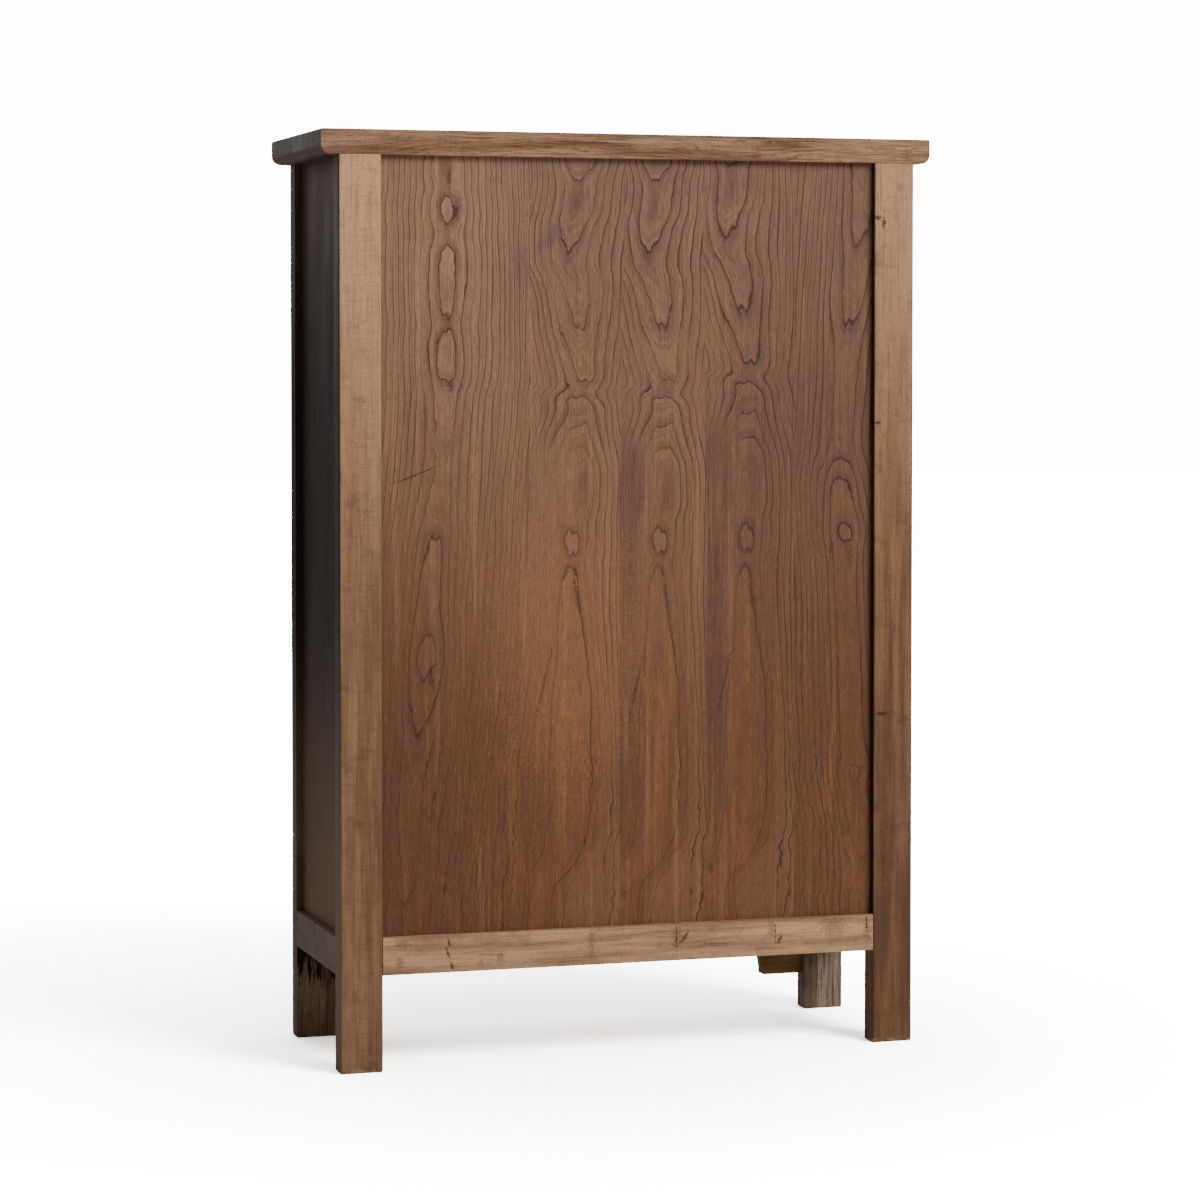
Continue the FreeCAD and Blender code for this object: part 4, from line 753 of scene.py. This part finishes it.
# Marks on the back rail and on the back leg at -X, placed as those on the veneer
RAIL_KNOTS = [
    (331.0, 217.0, 2.6, 13.0, 0.2), (333.0, 200.0, 2.6, 12.0, 0.3),
    (325.0, 177.0, 4.0, 14.0, 0.3), (-79.0, 204.0, 1.8, 26.0, 0.0),
    (-93.0, 205.0, 5.0, 12.0, -0.8), (-262.0, 205.0, 1.6, 22.0, 0.0),
    (-270.0, 194.0, 5.0, 10.0, -0.3), (-434.0, 212.0, 2.0, 20.0, 0.0),
]
RAIL_SMUDGES = [
    (412.0, 216.0, 16.0, 9.0, 0.0), (416.0, 186.0, 9.0, 12.0, 0.0),
    (240.0, 186.0, 8.0, 12.0, 0.0), (76.0, 205.0, 9.0, 30.0, 0.0),
    (-79.0, 205.0, 13.0, 26.0, 0.0), (-255.0, 212.0, 9.0, 22.0, 0.0),
    (-372.0, 212.0, 32.0, 22.0, 0.0), (-436.0, 200.0, 12.0, 32.0, 0.0),
    (-150.0, 190.0, 40.0, 5.0, 0.0),
]
LEG_KNOTS = [
    (-451.0, 1461.0, 9.0, 7.0), (-463.0, 1452.0, 5.0, 12.0), (-452.0, 1100.0, 8.0, 3.0),
    (-460.0, 585.0, 17.0, 4.0, -1.0),
]
LEG_SMUDGES = [
    (-455.0, 490.0, 8.0, 95.0), (-463.0, 330.0, 6.0, 100.0, 0.03), (-493.0, 250.0, 6.0, 110.0),
    (-478.0, 700.0, 6.0, 120.0),
]

# A piece takes the finish whose word its own name starts with, or that finish_of gives it
FINISHES = {
    "back_panel": elm_veneer(),
    "leg_back_left": back_leg(
        "elm_planed_stained_upright_dark", TAN_DARK, 0.46, 0.6, 0.15, LEG_KNOTS, LEG_SMUDGES
    ),
    "leg_back_right": back_leg("elm_planed_stained_upright", TAN, 0.3, 0.95, 0.29),
    "leg_front_left": front_leg("elm_sawn_grey_upright", RAW_GREY, 0.35),
    "leg_front_right": front_leg("elm_sawn_brown_upright", RAW_BROWN, 0.95),
    "bottom_rail_back": bare("elm_planed_stained_across", "x", TAN_RAIL, RAIL_KNOTS, RAIL_SMUDGES),
    "bottom_rail_front": lacquered("elm_lacquered_rail_front", "x", RAW_BROWN, front=FRONT),
    "bottom_rail_": side_rail("elm_lacquered_rail_side", RAW_BROWN),
    "side_panel": lacquered("elm_lacquered_board_side", "z", PLAIN, side=PANEL_SIDE),
    "top_rail_back": top_back("elm_planed_stained_top", TAN_TOP),
    "top_rail_front": lacquered(
        "elm_lacquered_top_front", "x", RAW_BROWN, side=TOP_END, front=TOP_FRONT, top=TOP
    ),
    "top_rail_": top_end("elm_lacquered_top_end", RAW_BROWN),
    "top_panel": lacquered("elm_lacquered_top_board", "x", PLAIN, top=TOP),
    "apron": lacquered("elm_lacquered_apron", "x", RAW_BROWN, front=APRON_FRONT),
    "spandrel": lacquered("elm_lacquered_bracket", "x", RAW_BRACKET, front=APRON_FRONT),
    "centre_post": lacquered("elm_lacquered_post", "z", PLAIN, front=FRONT),
    "stile": lacquered("elm_lacquered_door_upright", "z", PLAIN, front=FRONT),
    "rail": lacquered("elm_lacquered_door_rail", "x", PLAIN, front=FRONT),
    "panel": lacquered("elm_lacquered_door_panel", "z", PLAIN, front=DOOR_PANEL_FRONT),
    "across": bare("softwood_planed_across", "x", PLAIN),
    "deep": bare("softwood_planed_front_to_back", "y", PLAIN),
    "plate": aged_brass("brass_sheet_beaten_tarnished", "96743f", 0.75),
    "pin": aged_brass("brass_wire_worn_bright", "c79c5a", 0.3),
}


def finish_of(name):
    """The finish of a piece, by what it is."""
    if "plate" in name:
        return "plate"
    if "pin" in name or "pull" in name:
        return "pin"
    if name.startswith("door"):
        return next(part for part in ("stile", "rail", "panel") if name.endswith(part))
    if "shelf_rail" in name:
        return "across"
    if "board" in name or "brace" in name or "batten" in name:
        return "deep"
    if name == "post_stop_strip":
        return "centre_post"
    return next(start for start in FINISHES if name.startswith(start))


for name, thing in frame["nodes"].items():
    for slot in thing.material_slots:
        slot.material = FINISHES[finish_of(name)]

# White paper: it lights the object as plain paper would, and shows the camera more, so that
# it is white. It brightens from near the object to far away, in mm.
PAPER_ALBEDO, PAPER_SHOWN_NEAR_SHADED, PAPER_SHOWN_FAR, SKY_SHOWN = 0.85, 9.5, 50.0, 15.0
PAPER_NEAR, PAPER_FAR = 400.0, 4500.0
FLOOR_HALF = 30.0


def floor():
    mesh = bpy.data.meshes.new("floor")
    corners = [(-1, -1), (1, -1), (1, 1), (-1, 1)]
    mesh.from_pydata([(x * FLOOR_HALF, y * FLOOR_HALF, 0) for x, y in corners], [], [range(4)])
    own = Finish("paper_backdrop_white")
    seen = own.add("LightPath").outputs["Is Camera Ray"]
    away = own.add("VectorMath", own.place, operation="LENGTH").outputs["Value"]
    # darker near the object, a painted shade that deepens the shadow under it, and brighter far
    # away so that the paper stays white
    shown = own.add("MapRange", away, PAPER_NEAR, PAPER_FAR, PAPER_SHOWN_NEAR_SHADED, PAPER_SHOWN_FAR)
    paper = own.add("BsdfDiffuse", own.add("Mix", seen, PAPER_ALBEDO, shown, data_type="FLOAT"))
    own.put(own.tree.nodes["Material Output"].inputs["Surface"], paper)
    mesh.materials.append(own.material)
    thing = bpy.data.objects.new("floor", mesh)
    bpy.context.scene.collection.objects.link(thing)


def world(dim, bright):
    """Even white light, dimmer from the +X side, where the studio was dark."""
    sky = bpy.data.worlds.new("studio")
    sky.use_nodes = True
    own = Nodes(sky.node_tree)
    way = own.add("SeparateXYZ", own.add("TexCoord").outputs["Generated"])
    light = own.add("MapRange", way.outputs["X"], -1.0, 1.0, bright, dim)
    seen = own.add("LightPath").outputs["Is Camera Ray"]
    strength = own.add("Mix", seen, light, SKY_SHOWN, data_type="FLOAT")
    background = sky.node_tree.nodes["Background"]
    own.put(background.inputs["Strength"], strength)
    own.put(background.inputs["Color"], (1.0, 1.0, 1.0, 1.0))
    bpy.context.scene.world = sky


def area_light(name, place, target, size, power):
    """A soft light, with its place, target and size in metres and its power in watts."""
    data = bpy.data.lights.new(name, "AREA")
    data.shape = "RECTANGLE"
    data.size, data.size_y = size
    data.energy = power
    lamp = bpy.data.objects.new(name, data)
    lamp.location = place
    lamp.rotation_euler = (Vector(target) - Vector(place)).to_track_quat("-Z", "Y").to_euler()
    bpy.context.scene.collection.objects.link(lamp)


# The camera that the photograph's corners give. The photograph's uprights are parallel; half of
# that is a lens shift here and half a tilt, so that the other views keep the object in the frame.
PHOTO_HEIGHT = 1201
FOCAL_PX = 3564.4
TURN_DEG, TILT_DEG = 162.794, 1.94
CAMERA_PLACE = (1.8758, 6.0622, 1.2078)
SHIFT = -0.0983
SENSOR = 36.0


def camera():
    data = bpy.data.cameras.new("camera")
    data.sensor_fit = "AUTO"
    data.sensor_width = SENSOR
    data.lens = SENSOR * FOCAL_PX / PHOTO_HEIGHT
    data.shift_y = SHIFT
    data.clip_end = 100.0
    thing = bpy.data.objects.new("camera", data)
    thing.location = CAMERA_PLACE
    thing.rotation_euler = (math.radians(90 - TILT_DEG), 0, math.radians(TURN_DEG))
    bpy.context.scene.collection.objects.link(thing)
    bpy.context.scene.camera = thing


floor()
world(dim=0.2, bright=0.5)
area_light("key_from_above", (-2.4, 4.2, 4.2), (0, 0.1, 1.0), (2.6, 2.6), 300.0)
area_light("front_fill", (0.5, -4.5, 3.0), (0, 0, 0.8), (3.0, 3.0), 70.0)
camera()
